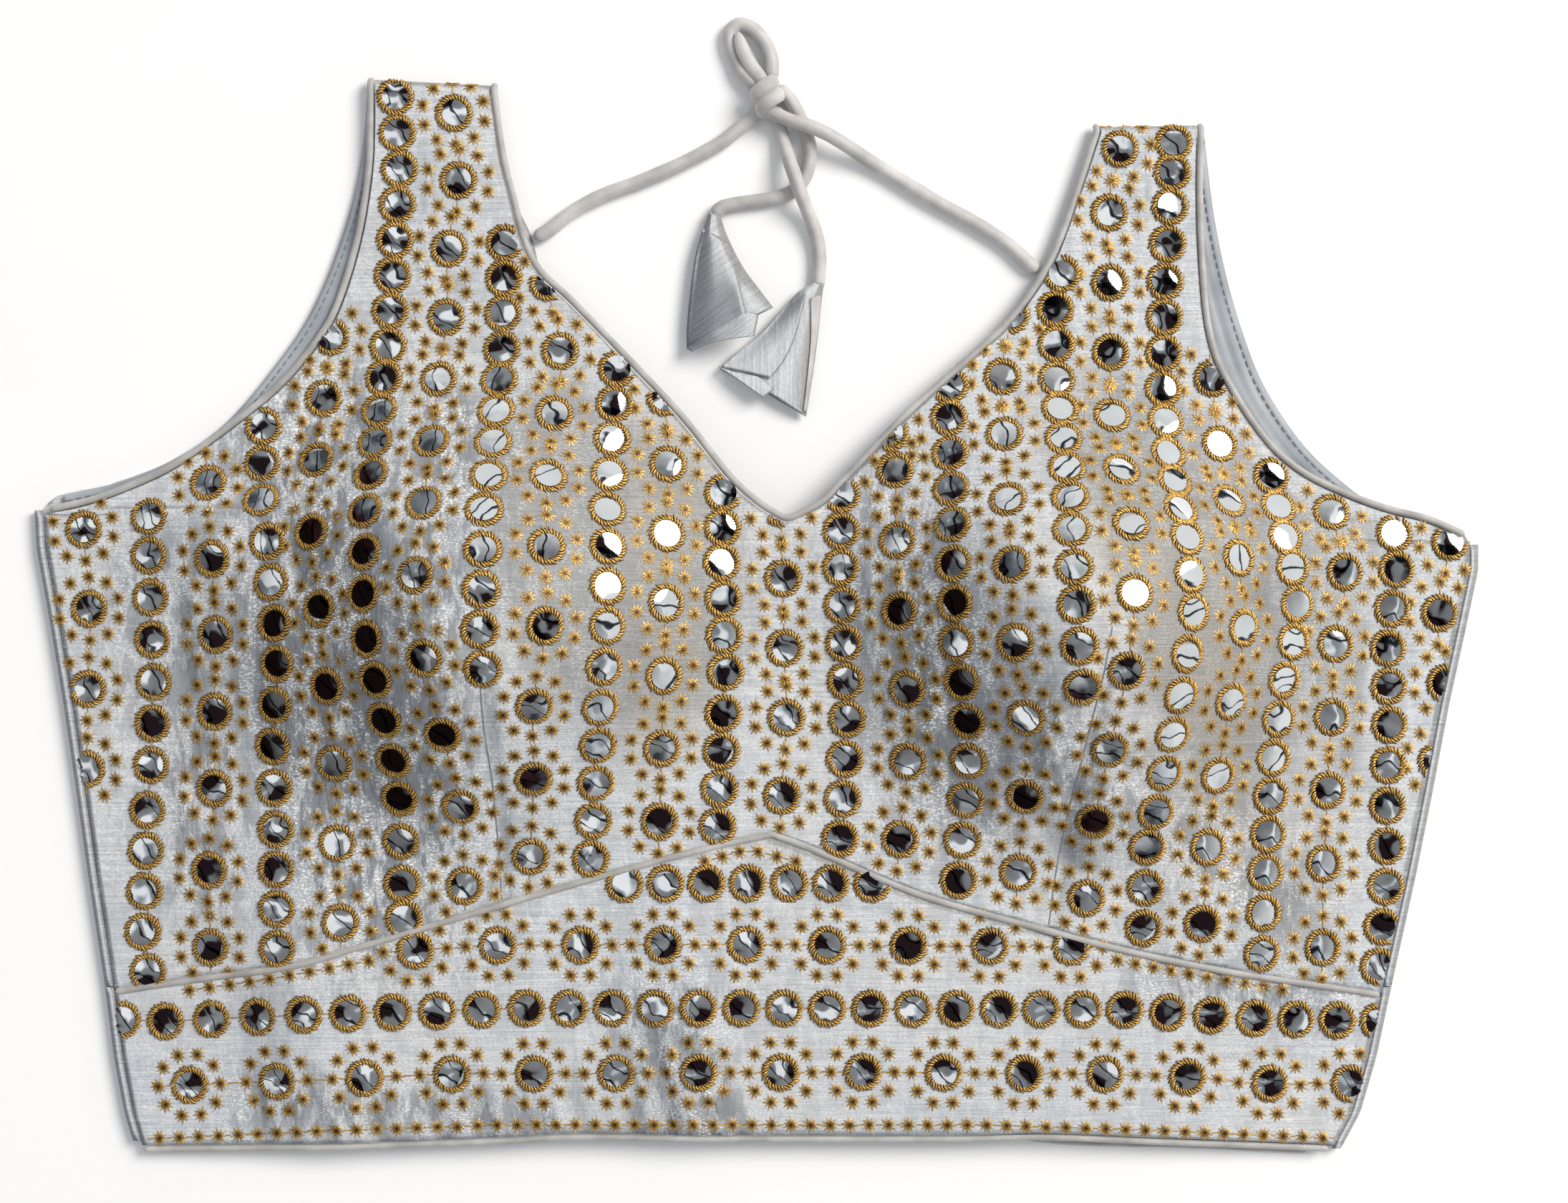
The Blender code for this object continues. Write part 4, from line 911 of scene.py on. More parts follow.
CRINKLE_AREAS = (
    Fold(-140.0, 52.0, -122.0, -80.0, 32.0, 0.34), Fold(-98.0, 60.0, -100.0, -70.0, 16.0, 0.26),
    Fold(44.0, 30.0, 62.0, -60.0, 20.0, 0.2), Fold(96.0, -40.0, 160.0, -86.0, 18.0, 0.22),
    Fold(-190.0, 10.0, -172.0, -80.0, 18.0, 0.2), Fold(-30.0, -126.0, -18.0, -160.0, 16.0, 0.26),
    Fold(-160.0, -154.0, -70.0, -158.0, 10.0, 0.2), Fold(126.0, -116.0, 184.0, -122.0, 9.0, 0.2),
)
DART_LEFT = (Point(-84.5, -4.0), Point(-84.0, -31.5), Point(-82.5, -48.5), Point(-81.5, -67.5),
             Point(-80.5, -90.0))
DART_RIGHT = (Point(109.0, -2.0), Point(106.5, -17.5), Point(104.0, -29.5), Point(101.0, -45.0),
              Point(98.0, -60.0), Point(94.5, -82.0), Point(92.5, -98.0))
DART_WIDTH = 3.4
DART_DEPTH = 0.9
DART_TROUGHS = [Fold(*start, *end, DART_WIDTH, DART_DEPTH)
                for dart in (DART_LEFT, DART_RIGHT) for start, end in zip(dart, dart[1:])]
CENTRE_SEAM_ROW = 7
HALF_COLUMNS = 104
BODICE_ROWS = 66
STRAP_ROWS = 92
BAND_GRID_ROWS = 27
FOLD_STEPS = 9


def near_stitches(x, y):
    """0 where a mirror holds the cloth flat, rising to 1 away from it."""
    clear = np.full(x.shape, 1e3)
    for motif in ring_motifs:
        clear = np.minimum(clear, np.hypot(x - motif.x, y - motif.y))
    return smooth((clear - STITCH_FLAT) / STITCH_FADE)


def strongest(areas, x, y):
    """The strongest of some marked areas or troughs at a place, 0 away from them all."""
    share = np.zeros_like(x)
    for area in areas:
        share = np.maximum(share, area.rise * ridge(x, y, *area[:5]))
    return share


def laid_creases(creases, x, y):
    """The soft troughs and ridges of a table, which add up where they cross."""
    rise = np.zeros_like(x)
    for crease in creases:
        rise = rise + crease.depth * ridge(x, y, *crease[:5])
    return rise


def small_creases(x, y):
    """The laid creases, and the fine crumple between the mirrors, waves bent by slower ones."""
    crumple = (np.sin(0.62 * x + 1.3 * np.sin(0.21 * y + 0.08 * x))
               * np.sin(0.17 * y + 0.9 * np.sin(0.13 * x)) * 0.7
               + np.sin(1.35 * x + 0.4 * y + 1.7 * np.sin(0.33 * y)) * 0.3
               + np.sin(0.9 * x - 0.75 * y + 1.1 * np.sin(0.27 * x)) * 0.25)
    return ((laid_creases(CREASES, x, y) * CREASE_SHARE
             + strongest(CRINKLE_AREAS, x, y) * CRUMPLE_HEIGHT * crumple) * near_stitches(x, y))


def on_front(points):
    """Lift flat points onto the front's outer face, creases and dart troughs included."""
    x, y = points[..., 0], points[..., 1]
    edge = np.minimum(x - side_limit(y, "left"), side_limit(y, "right") - x)
    height = (front_height(x, y) + small_creases(x, y) * smooth(edge / EDGE_FADE)
              - strongest(DART_TROUGHS, x, y))
    return np.stack((x, y, height), -1)


def offset(points, distance):
    """Move a flat curve sideways, to its left for a positive distance."""
    along = unit(np.gradient(points, axis=0))
    return points + np.stack((-along[:, 1], along[:, 0]), 1) * distance


def split_spline(points, middle, count):
    """Twice count steps along a curve, with a point on the row numbered middle."""
    return np.vstack((spline(points[:middle + 1], count)[:-1], spline(points[middle:], count)))


def meet_sides(line):
    """Stretch a row of the front near its ends, so that it meets the back's folds at the sides."""
    inward = FOLD_RADIUS + FOLD_LIP + SIDE_GAP
    moved = line.copy()
    share = np.linspace(0.0, 1.0, len(line))
    move_left = side_edge(line[0, 1], "left") + inward - line[0, 0]
    move_right = side_edge(line[-1, 1], "right") - inward - line[-1, 0]
    moved[:, 0] += (move_left * np.clip(1 - 4 * share, 0, 1)
                    + move_right * np.clip(4 * share - 3, 0, 1))
    return moved


def lerp_rows(low, high, count):
    """Rows of points from one curve to another."""
    share = np.linspace(0.0, 1.0, count + 1)[:, None, None]
    return low[None] + (high - low)[None] * share


def shoulder_fold(row):
    """Rows that carry the top of a front strap over the shoulder and back underneath."""
    along = unit(row[-1] - row[0])
    outward = np.array((-along[1], along[0], 0.0))
    outward = outward if outward[1] > 0 else -outward
    rows = []
    for turn in np.radians(np.linspace(90.0, -90.0, FOLD_STEPS + 1)[1:]):
        rows.append(row + outward * FOLD_RADIUS * math.cos(turn)
                    + np.array((0.0, 0.0, FOLD_RADIUS * (math.sin(turn) - 1.0))))
    rows.append(rows[-1] - outward * FOLD_LIP)
    return np.array(rows)


def cloth(name, grids, finish, thickness, flip=False):
    """A cloth panel from grids of outer points, welded where they meet."""
    points, faces = [], []
    for grid in grids:
        start = sum(len(part) for part in points)
        rows, columns = grid.shape[:2]
        points.append(grid.reshape(-1, 3))
        faces += [tuple(start + place for place in (face[::-1] if flip else face))
                  for face in grid_faces(rows, columns)]
    piece = make_piece(name, np.concatenate(points), faces, finish)
    weld = piece.modifiers.new("weld", "WELD")
    weld.merge_threshold = WELD_REACH * MM
    wall(piece, thickness)
    return piece


def note(piece, name, values):
    """Keep a value for each point of a piece, for its material."""
    piece.data.attributes.new(name, "FLOAT", "POINT").data.foreach_set("value", values)


def mark_areas(piece, points):
    """Keep how crumpled each point of a cloth is, how much painted lamp-light tint it takes, and how much
    painted shade it takes in a crease's trough.
    """
    x, y = points[:, 0], points[:, 1]
    crinkled = np.clip(strongest(CRINKLE_AREAS, x, y) / CRUMPLE_FULL, 0, 1)
    crumple = CRUMPLE_LEAST + (1 - CRUMPLE_LEAST) * crinkled
    warm = strongest(PAINTED_WARM_LIGHT_AREAS, x, y)
    note(piece, "crumple", crumple * (1 - WARM_CALM * warm))
    note(piece, "warm", WARM_SHARE * warm)
    # Painted shade along the crease troughs, which is darker where they are deeper.
    note(piece, "trough",
         np.clip(-CREASE_SHADE_GAIN * laid_creases(CREASES, x, y) * near_stitches(x, y), 0, 1))


seam_line = split_spline(UNDERBUST_SEAM, CENTRE_SEAM_ROW, HALF_COLUMNS)
bodice_foot = offset(seam_line, SEAM_PIPING_RADIUS - TUCK)
share = np.linspace(0.0, 1.0, HALF_COLUMNS + 1)[:, None]
chest = np.vstack(((np.array(FRONT_ARMHOLE_LEFT[0]) * (1 - share)
                    + np.array(NECK_LEFT[0]) * share)[:-1],
                   np.array(NECK_RIGHT[0]) * (1 - share)
                   + np.array(FRONT_ARMHOLE_RIGHT[0]) * share))
lower = np.array([meet_sides(row) for row in lerp_rows(bodice_foot, chest, BODICE_ROWS)])


def strap(armhole, neck, flip):
    """Sections across a front strap, from the chest line up and over the shoulder."""
    sides = (spline(armhole, STRAP_ROWS), spline(neck, STRAP_ROWS))
    left, right = sides[::-1] if flip else sides
    grid = on_front(sections(left, right, HALF_COLUMNS))
    return np.concatenate((grid, shoulder_fold(grid[-1])))


bodice_grids = (on_front(lower), strap(FRONT_ARMHOLE_LEFT, NECK_LEFT, False),
                strap(FRONT_ARMHOLE_RIGHT, NECK_RIGHT, True))
bodice = cloth("front_bodice_silk", bodice_grids, dupion, FRONT_WALL)
mark_areas(bodice, np.concatenate([grid.reshape(-1, 3) for grid in bodice_grids]))
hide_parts("front_bodice")

band_top = offset(seam_line, TUCK - SEAM_PIPING_RADIUS)
band_grid = on_front(np.array([meet_sides(row) for row in lerp_rows(
    spline(FRONT_HEM, 2 * HALF_COLUMNS), band_top, BAND_GRID_ROWS)]))
waistband = cloth("front_band_silk", (band_grid,), dupion, FRONT_WALL)
mark_areas(waistband, band_grid.reshape(-1, 3))
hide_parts("front_band")

# The back: two halves that close edge to edge at the centre, deep below the neck, with a band
# below them. Each goes round the side and shows there as a rolled edge 3 mm wide.
BACK_WALL = 0.9
BACK_SEAM_Y = -118.0
CENTRE_BACK_X = 2.3
HEM_PIPING_RADIUS = 1.0
PIPING_RADIUS = 1.1
BACK_ARMHOLE_LEFT = (
    Point(-228.4, 34.0), Point(-224.0, 38.6), Point(-214.1, 40.8), Point(-204.9, 43.1),
    Point(-186.7, 50.4), Point(-168.4, 63.4), Point(-150.1, 85.6), Point(-140.9, 100.7),
    Point(-133.4, 119.2), Point(-128.1, 137.5), Point(-125.4, 155.8), Point(-124.6, 168.1),
)
BACK_ARMHOLE_RIGHT = (
    Point(228.4, 23.0), Point(224.8, 28.0), Point(215.7, 31.4), Point(197.4, 36.7),
    Point(188.3, 42.4), Point(174.8, 55.2), Point(162.6, 73.5), Point(155.3, 91.8),
    Point(150.1, 110.1), Point(146.4, 128.4), Point(144.1, 146.6), Point(143.4, 153.4),
)
BACK_NECK_LEFT = (
    Point(2.3, -42.0), Point(-20.0, -36.0), Point(-42.0, -10.0), Point(-54.0, 25.0),
    Point(-61.5, 62.0), Point(-67.8, 100.0), Point(-71.4, 120.0), Point(-77.6, 134.0),
    Point(-82.0, 150.0), Point(-84.6, 166.2),
)
BACK_NECK_RIGHT = (
    Point(2.3, -42.0), Point(26.0, -36.0), Point(50.0, -10.0), Point(64.0, 25.0),
    Point(74.0, 62.0), Point(83.0, 92.0), Point(90.6, 109.0), Point(98.0, 120.0),
    Point(104.6, 137.5), Point(109.0, 152.6),
)
BACK_HEM = (
    Point(-198.4, -169.8), Point(-180.0, -167.9), Point(-104.0, -165.4), Point(-13.0, -164.4),
    Point(60.0, -165.4), Point(100.0, -168.9), Point(140.0, -170.0), Point(185.6, -172.2),
)
BACK_CREASES = (
    Crease(-190.0, 20.0, -150.0, -40.0, 6.0, 0.8), Crease(-206.0, -10.0, -172.0, -70.0, 5.0, 0.6),
    Crease(-120.0, -20.0, -96.0, -104.0, 7.0, 0.7), Crease(-60.0, -50.0, -48.0, -112.0, 6.0, 0.6),
    Crease(-160.0, 60.0, -120.0, 30.0, 5.0, 0.6), Crease(188.0, 10.0, 150.0, -46.0, 6.0, 0.8),
    Crease(204.0, -24.0, 170.0, -80.0, 5.0, 0.6), Crease(116.0, -16.0, 92.0, -100.0, 7.0, 0.7),
    Crease(54.0, -48.0, 44.0, -108.0, 6.0, 0.5), Crease(150.0, 56.0, 116.0, 24.0, 5.0, 0.6),
    Crease(-150.0, -126.0, -138.0, -160.0, 5.0, 0.6), Crease(-70.0, -124.0, -62.0, -158.0, 4.4, 0.5),
    Crease(64.0, -124.0, 72.0, -160.0, 5.0, 0.6), Crease(136.0, -126.0, 146.0, -160.0, 4.4, 0.5),
)
BACK_SPLIT = 3
BACK_COLUMNS = 70
BACK_ROWS = 56
BACK_STRAP_ROWS = 56
BACK_BAND_ROWS = 20
SIDE_TURNS = 13
BACK_EDGE_FLAT = 4.0
BACK_EDGE_FADE = 10.0
BACK_HEM_STEPS = 200


def side_fold(y, side):
    """Columns that carry a row of the back round the side and in over the front's edge."""
    inward = 1.0 if side == "left" else -1.0
    centre = np.array((side_edge(y, side) + inward * FOLD_RADIUS, y, FOLD_RADIUS))
    turns = np.radians(np.linspace(90.0, -90.0, SIDE_TURNS))
    round_side = np.stack((-inward * np.cos(turns), np.zeros(SIDE_TURNS), np.sin(turns)), 1)
    return np.vstack((centre + np.array((inward * FOLD_LIP, 0.0, FOLD_RADIUS)),
                      centre + round_side * FOLD_RADIUS))


def underside(points):
    """Lay flat points on the table, but for the soft troughs in the back."""
    x, y = points[..., 0], points[..., 1]
    edge = np.minimum(x - side_edge(y, "left"), side_edge(y, "right") - x)
    rise = laid_creases(BACK_CREASES, x, y) * smooth((edge - BACK_EDGE_FLAT) / BACK_EDGE_FADE)
    return np.stack((x, y, rise), -1)


def panel_row(side, side_y, inner, columns):
    """One row of a back panel: its side fold, then the cloth to its inner edge."""
    fold = side_fold(side_y, side)
    share = np.linspace(0.0, 1.0, columns + 1)[1:, None]
    return np.vstack((fold, underside(fold[-1, :2] * (1 - share) + inner * share)))


def back_panel(name, grids, left):
    """A panel of the back in place of its solid."""
    piece = cloth(name + "_silk", grids, dupion, BACK_WALL, flip=left)
    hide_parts(name)


def back_bodice(side, armhole, neck):
    """One half of the back, from the band's seam to the shoulder."""
    left = side == "left"
    apart = np.array((-SEAM_GAP / 2 if left else SEAM_GAP / 2, 0.0))
    centre_rows = BACK_ROWS // 2
    inner = np.vstack((spline(((CENTRE_BACK_X, BACK_SEAM_Y + SEAM_GAP), neck[0]), centre_rows)[:-1],
                       spline(neck[:BACK_SPLIT + 1], BACK_ROWS - centre_rows))) + apart
    heights = np.linspace(BACK_SEAM_Y + SEAM_GAP, armhole[0].y, BACK_ROWS + 1)
    lower_back = np.array([panel_row(side, y, point, BACK_COLUMNS)
                           for y, point in zip(heights, inner)])
    upper = underside(sections(spline(armhole, BACK_STRAP_ROWS),
                               spline(neck[BACK_SPLIT:], BACK_STRAP_ROWS) + apart, BACK_COLUMNS))
    back_panel("back_bodice_" + side, (lower_back, upper), left)


def back_band(side):
    """One half of the back's waistband, down to its rolled hem."""
    left = side == "left"
    hem = offset(spline(BACK_HEM, BACK_HEM_STEPS), 2 * PIPING_RADIUS + 2 * SEAM_GAP)
    inner_x = CENTRE_BACK_X + (-SEAM_GAP / 2 if left else SEAM_GAP / 2)
    bottom = hem[0, 1] if left else hem[-1, 1]
    rows = []
    for share in np.linspace(0.0, 1.0, BACK_BAND_ROWS + 1):
        fold = side_fold(bottom + (BACK_SEAM_Y - bottom) * share, side)
        x = np.linspace(fold[-1, 0], inner_x, BACK_COLUMNS + 1)[1:]
        hem_y = np.interp(x, hem[:, 0], hem[:, 1])
        flat = np.stack((x, hem_y + (BACK_SEAM_Y - hem_y) * share), 1)
        rows.append(np.vstack((fold, underside(flat))))
    back_panel("back_band_" + side, (np.array(rows),), left)


back_bodice("left", BACK_ARMHOLE_LEFT, BACK_NECK_LEFT)
back_bodice("right", BACK_ARMHOLE_RIGHT, BACK_NECK_RIGHT)
back_band("left")
back_band("right")

# The facings: strips of satin lining turned inside the back's armholes, which show beyond the
# front, with one row of machine stitches 2 mm from the edge.
FACING_FLOOR = 1.6
FACING_WALL = 1.0
FACING_WIDTH = 15.0
FACING_TOP = FACING_FLOOR + FACING_WALL
FACING_COLUMNS = 16
FACING_ROWS = 150
FACING_SHELL = 0.8 * FACING_WALL
FACING_SETTLE = 0.1
FACING_SWELL = 0.12
FACING_SWELL_PACE = 0.11
FACING_RIPPLE = 0.16
FACING_RIPPLE_PACE = 1.9
FACING_ROLL = 0.5
FACING_ROLL_WIDE = 0.7
STITCH_INSET = 2.0
STITCH_LONG = 2.3
STITCH_GAP = 0.7
STITCH_RADIUS = 0.22
STITCH_TALL = 1.3
Bead = namedtuple("Bead", "share size")
STITCH_BEADS = (Bead(0.0, 0.3), Bead(0.25, 1.0), Bead(0.75, 1.0), Bead(1.0, 0.3))

lining, tree, shader, place = start_finish("satin_lining", Roughness=0.5, IOR=SILK_IOR,
                                           Sheen_Weight=0.3)
paint(tree, shader, colour_steps(tree, noise(tree, place, 18, Detail=5.0),
                                 ((0.3, "#8F969D"), (0.5, "#A2A8AE"), (0.75, "#B4B9BE"))))
emboss(tree, shader, (ribbing(tree, place, 0.8, Distortion=1.0), 0.2, 0.08))

thread, tree, shader, place = start_finish("polyester_thread_spun", Roughness=0.6, IOR=SILK_IOR)
paint(tree, shader, colour_steps(tree, noise(tree, place, 0.6),
                                 ((0.3, "#6E747A"), (0.7, "#8B9197"))))


def thread_faces(first, stations, flip=False):
    """Faces of a ridge of thread, whose stations have three points: an edge, the top, an edge."""
    near, far = (3, 1) if flip else (1, 3)
    return [(a, a + near, a + 4, a + far)
            for station in range(stations - 1) for a in (first + 3 * station, first + 3 * station + 1)]


def thread_row(name, line):
    """A row of machine stitches along a line on the cloth, each a low bead of thread."""
    lengths = line_lengths(line)
    points, faces = [], []
    for start in np.arange(STITCH_GAP, lengths[-1] - STITCH_LONG, STITCH_LONG + STITCH_GAP):
        centre = np.array([[np.interp(start + STITCH_LONG * bead.share, lengths, column)
                            for column in line.T] for bead in STITCH_BEADS])
        along = unit(centre[-1] - centre[0])
        side = unit(np.cross(along, UP)) * STITCH_RADIUS
        rise = UP * STITCH_RADIUS
        faces += thread_faces(len(points), len(STITCH_BEADS), flip=True)
        for place, bead in zip(centre, STITCH_BEADS):
            points += [place + side * bead.size, place + rise * bead.size * STITCH_TALL,
                       place - side * bead.size]
    make_piece(name, np.array(points), faces, thread)


def facing(side, armhole):
    """The lining-faced strip inside the back's armhole, a little wavy as it lies, and its stitches."""
    inward = -1 if side == "left" else 1
    outer = offset(spline(armhole[1:], FACING_ROWS)[2:-2], inward * SEAM_GAP)
    lines = []
    for share in np.linspace(1.0, 0.0, FACING_COLUMNS + 1):
        away = FACING_WIDTH * share
        flat = offset(outer, inward * FACING_WIDTH * share)
        wave = (FACING_SWELL * np.sin(line_lengths(flat) * FACING_SWELL_PACE + away)
                + FACING_RIPPLE * np.sin(away * FACING_RIPPLE_PACE))
        roll = -FACING_ROLL * math.exp(-(away / FACING_ROLL_WIDE) ** 2)
        height = FACING_TOP - FACING_SETTLE + wave * min(away / 2, 1) + roll
        lines.append(np.column_stack((flat, height)))
    name = "back_armhole_facing_" + side
    piece = cloth(name + "_lining", (np.array(lines),), lining, FACING_SHELL,
                  flip=side == "right")
    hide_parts(name)
    row = offset(outer, inward * STITCH_INSET)
    thread_row("facing_stitches_" + side, np.column_stack((row, np.full(len(row), FACING_TOP))))


facing("left", BACK_ARMHOLE_LEFT)
facing("right", BACK_ARMHOLE_RIGHT)

# The pipings: thin cords covered with bias-cut silk, sewn into the neck, the armholes, the seam
# under the bust and the hem. The back's hem is rolled, and shows below the front's on the right.
PIPING_DROP = 0.4
NECK_POINT_EASE = 0.6
PIPING_STEP = 1.0
SHOULDER_TURNS = (60, 30, 0, -25)
ARMHOLE_STEPS = 90
NECK_STEPS = 80
BINDING_STEPS = 120


def piping_line(edge, distance):
    """The line of a piping that lies outside a cut edge of the front."""
    line = offset(edge, distance)
    height = front_height(line[:, 0], line[:, 1]) - PIPING_DROP
    return np.column_stack((line, height))


def over_shoulder(line):
    """A piping's line with more points, which take it over the fold of the shoulder."""
    radius = FOLD_RADIUS - PIPING_DROP
    turns = np.radians(SHOULDER_TURNS)
    return np.vstack((line, [line[-1] + radius * np.array((0.0, math.cos(turn), math.sin(turn) - 1.0))
                             for turn in turns]))


def piping(name, line, radius=PIPING_RADIUS):
    """A length of piping in place of its solid."""
    count = round(line_lengths(line)[-1] / PIPING_STEP)
    piece = cord_tube(name + "_bias", spline(line, count), piping_silk, radius=radius)
    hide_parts(name)


away = SEAM_GAP + PIPING_RADIUS
for side, armhole, distance in (("left", FRONT_ARMHOLE_LEFT, away),
                                ("right", FRONT_ARMHOLE_RIGHT, -away)):
    piping("armhole_piping_" + side,
           over_shoulder(piping_line(spline(armhole, ARMHOLE_STEPS)[1:], distance)))
left_neck = piping_line(spline(NECK_LEFT, NECK_STEPS), -away)
right_neck = piping_line(spline(NECK_RIGHT, NECK_STEPS), away)
bottom = (left_neck[0] + right_neck[0]) / 2 + np.array((0.0, NECK_POINT_EASE, 0.0))
piping("neck_piping", np.vstack((over_shoulder(left_neck[3:])[::-1], bottom,
                                 over_shoulder(right_neck[3:]))))
seam_height = front_height(seam_line[:, 0], seam_line[:, 1]) - PIPING_DROP
piping("underbust_piping", np.column_stack((seam_line, seam_height)), SEAM_PIPING_RADIUS)
piping("front_hem_piping", piping_line(spline(FRONT_HEM, 2 * HALF_COLUMNS),
                                       -SEAM_GAP - HEM_PIPING_RADIUS), HEM_PIPING_RADIUS)
back_edge = offset(spline(BACK_HEM, BINDING_STEPS), PIPING_RADIUS)[3:-3]
piping("back_hem_binding", np.column_stack((back_edge, np.full(len(back_edge), PIPING_RADIUS))))

# The darts: each cup is shaped by one long dart up from the seam, seen as a fine sunk line, dark as
# painted shade.
DART_LINE_RADIUS = 0.32
DART_LINE_SUNK = 0.4
DART_STEPS = 90


def dart_seam_shade(name, dart):
    """The closed edge of a dart, a fine line at the bottom of its trough, dark as painted shade."""
    line = on_front(spline(dart, DART_STEPS))
    line[:, 2] -= DART_LINE_RADIUS * DART_LINE_SUNK
    cord_tube(name, line, thread, radius=DART_LINE_RADIUS)


dart_seam_shade("dart_seam_left", DART_LEFT)
dart_seam_shade("dart_seam_right", DART_RIGHT)

# The mirrors: discs of thin blown glass, silvered behind, so each is a little bowed and tilted
# and gives back its own piece of the room.
MIRROR_RADIUS = 4.25
MIRROR_BOW = 52.0
MIRROR_RISE = 0.6
MIRROR_TILT = 0.075
MIRROR_SIDES = 24
MIRROR_RINGS = (1.3, 2.6, MIRROR_RADIUS)
SINK = 0.35
SEAT_POINTS = 12

blown_glass, tree, shader, place = start_finish("silvered_blown_glass", Metallic=1.0, Roughness=0.03)
paint(tree, shader, colour_steps(tree, noise(tree, place, 20), ((0.3, "#D3D6D9"), (0.7, "#E9ECEE"))))
emboss(tree, shader, (noise(tree, place, 8, Detail=0.0), 0.5, 0.5))


def cloth_height(x, y):
    """Height of the front's outer face with all its creases."""
    return on_front(np.stack((x, y), -1))[..., 2]


def sewn_places(motifs, reach):
    """Where motifs are sewn on: origins, and their across, along and outward directions."""
    x, y, along_x, along_y = np.array(motifs).T
    turn = np.linspace(0.0, 2 * math.pi, SEAT_POINTS, endpoint=False)
    around = cloth_height(x[:, None] + reach * np.cos(turn), y[:, None] + reach * np.sin(turn))
    slope_x = (around * np.cos(turn)).mean(1) * 2 / reach
    slope_y = (around * np.sin(turn)).mean(1) * 2 / reach
    out = unit(np.stack((-slope_x, -slope_y, np.ones_like(x)), 1))
    along = unit(np.stack((along_x, along_y, along_x * slope_x + along_y * slope_y), 1))
    across = np.cross(along, out)
    plane = reach * (slope_x[:, None] * np.cos(turn) + slope_y[:, None] * np.sin(turn))
    height = np.maximum((around - plane).max(1) - SINK, cloth_height(x, y))
    return np.stack((x, y, height), 1), across, along, out


STRAP_TOPS = ((FRONT_ARMHOLE_LEFT[-1], NECK_LEFT[-1]), (NECK_RIGHT[-1], FRONT_ARMHOLE_RIGHT[-1]))
STRAP_BESIDE = 4.0


def over_straps(points):
    """Bend whatever reaches past the top of a strap over the fold of the shoulder."""
    bent = points.copy()
    middle = FRONT_TOP - FOLD_RADIUS
    for start, end in STRAP_TOPS:
        start, end = np.array(start), np.array(end)
        along = unit(end - start)
        outward = np.array((-along[1], along[0]))
        past = (points[..., :2] - start) @ outward
        beside = (points[..., :2] - start) @ along
        over = ((past > 0) & (beside > -STRAP_BESIDE)
                & (beside < np.linalg.norm(end - start) + STRAP_BESIDE))
        turn = np.minimum(past[over] / FOLD_RADIUS, math.pi)
        reach = points[over][:, 2] - middle
        shift = reach * np.sin(turn) - past[over]
        bent[over, 0] += outward[0] * shift
        bent[over, 1] += outward[1] * shift
        bent[over, 2] = middle + reach * np.cos(turn)
    return bent


def copies(name, template, faces, motifs, finish, reach, spin=None, tilt=None,
           outline=None, parts=None, drape=False):
    """Sew copies of a small shape onto the cloth as one joined mesh. Parts past an edge go."""
    origin, across, along, out = sewn_places(motifs, reach)
    if spin is not None:
        turned = across * np.cos(spin)[:, None] + along * np.sin(spin)[:, None]
        along = along * np.cos(spin)[:, None] - across * np.sin(spin)[:, None]
        across = turned
    if tilt is not None:
        out = unit(out + across * tilt[:, :1] + along * tilt[:, 1:])
        across = unit(np.cross(along, out))
        along = np.cross(out, across)
    shape = np.broadcast_to(template, (len(origin),) + template.shape[-2:])
    points = (origin[:, None] + shape[..., :1] * across[:, None] + shape[..., 1:2] * along[:, None]
              + shape[..., 2:3] * out[:, None])
    if drape:
        points[..., 2] = cloth_height(points[..., 0], points[..., 1]) + shape[..., 2]
    faces = np.array(faces)
    all_faces = faces[None] + template.shape[-2] * np.arange(len(origin))[:, None, None]
    if outline is None:
        all_faces = all_faces.reshape(-1, faces.shape[1])
    else:
        parts = np.array(parts)
        middles = points[:, faces].mean(2)
        kept = inside(middles[..., :2].reshape(-1, 2), outline).reshape(middles.shape[:2])
        for motif in np.flatnonzero(~kept.all(1)):
            kept[motif] = [kept[motif, parts == part].all() for part in parts]
        all_faces = all_faces[kept]
    used, numbers = np.unique(all_faces, return_inverse=True)
    points = over_straps(points.reshape(-1, 3))[used]
    piece = make_piece(name, points, numbers.reshape(all_faces.shape).tolist(), finish)
    if template.shape[-1] > 3:
        note(piece, "gilt", shape[..., 3].reshape(-1)[used])


def inside(points, outline):
    """Whether flat points are inside a closed outline."""
    found = np.zeros(len(points), bool)
    x, y = points.T
    for (x0, y0), (x1, y1) in zip(outline, np.roll(outline, -1, 0)):
        if y0 != y1:
            crosses = (y0 > y) != (y1 > y)
            found ^= crosses & (x < (x1 - x0) * (y - y0) / (y1 - y0) + x0)
    return found


STRAP_SPARE = 8.0
EDGE_STEPS = 40
side_heights = np.linspace(-119.0, 22.0, 24)
band_heights = np.linspace(-168.0, -121.0, 10)


def side_line(heights, side):
    """The front's side edge at some heights, on the cloth's own edge."""
    inward = (FOLD_RADIUS + FOLD_LIP) * (1 if side == "left" else -1)
    return np.column_stack((side_edge(heights, side) + inward, heights))


def spare_top(line):
    """A strap's edge with its end taken on past the shoulder."""
    return np.vstack((line, line[-1] + unit(line[-1] - line[-3]) * STRAP_SPARE))


bodice_outline = np.vstack((
    seam_line, side_line(side_heights, "right"), spare_top(spline(FRONT_ARMHOLE_RIGHT, EDGE_STEPS)),
    spare_top(spline(NECK_RIGHT, EDGE_STEPS))[::-1], spare_top(spline(NECK_LEFT, EDGE_STEPS)),
    spare_top(spline(FRONT_ARMHOLE_LEFT, EDGE_STEPS))[::-1], side_line(side_heights, "left")[::-1]))
band_outline = np.vstack((
    spline(FRONT_HEM, EDGE_STEPS), side_line(band_heights, "right"), seam_line[::-1],
    side_line(band_heights, "left")[::-1]))


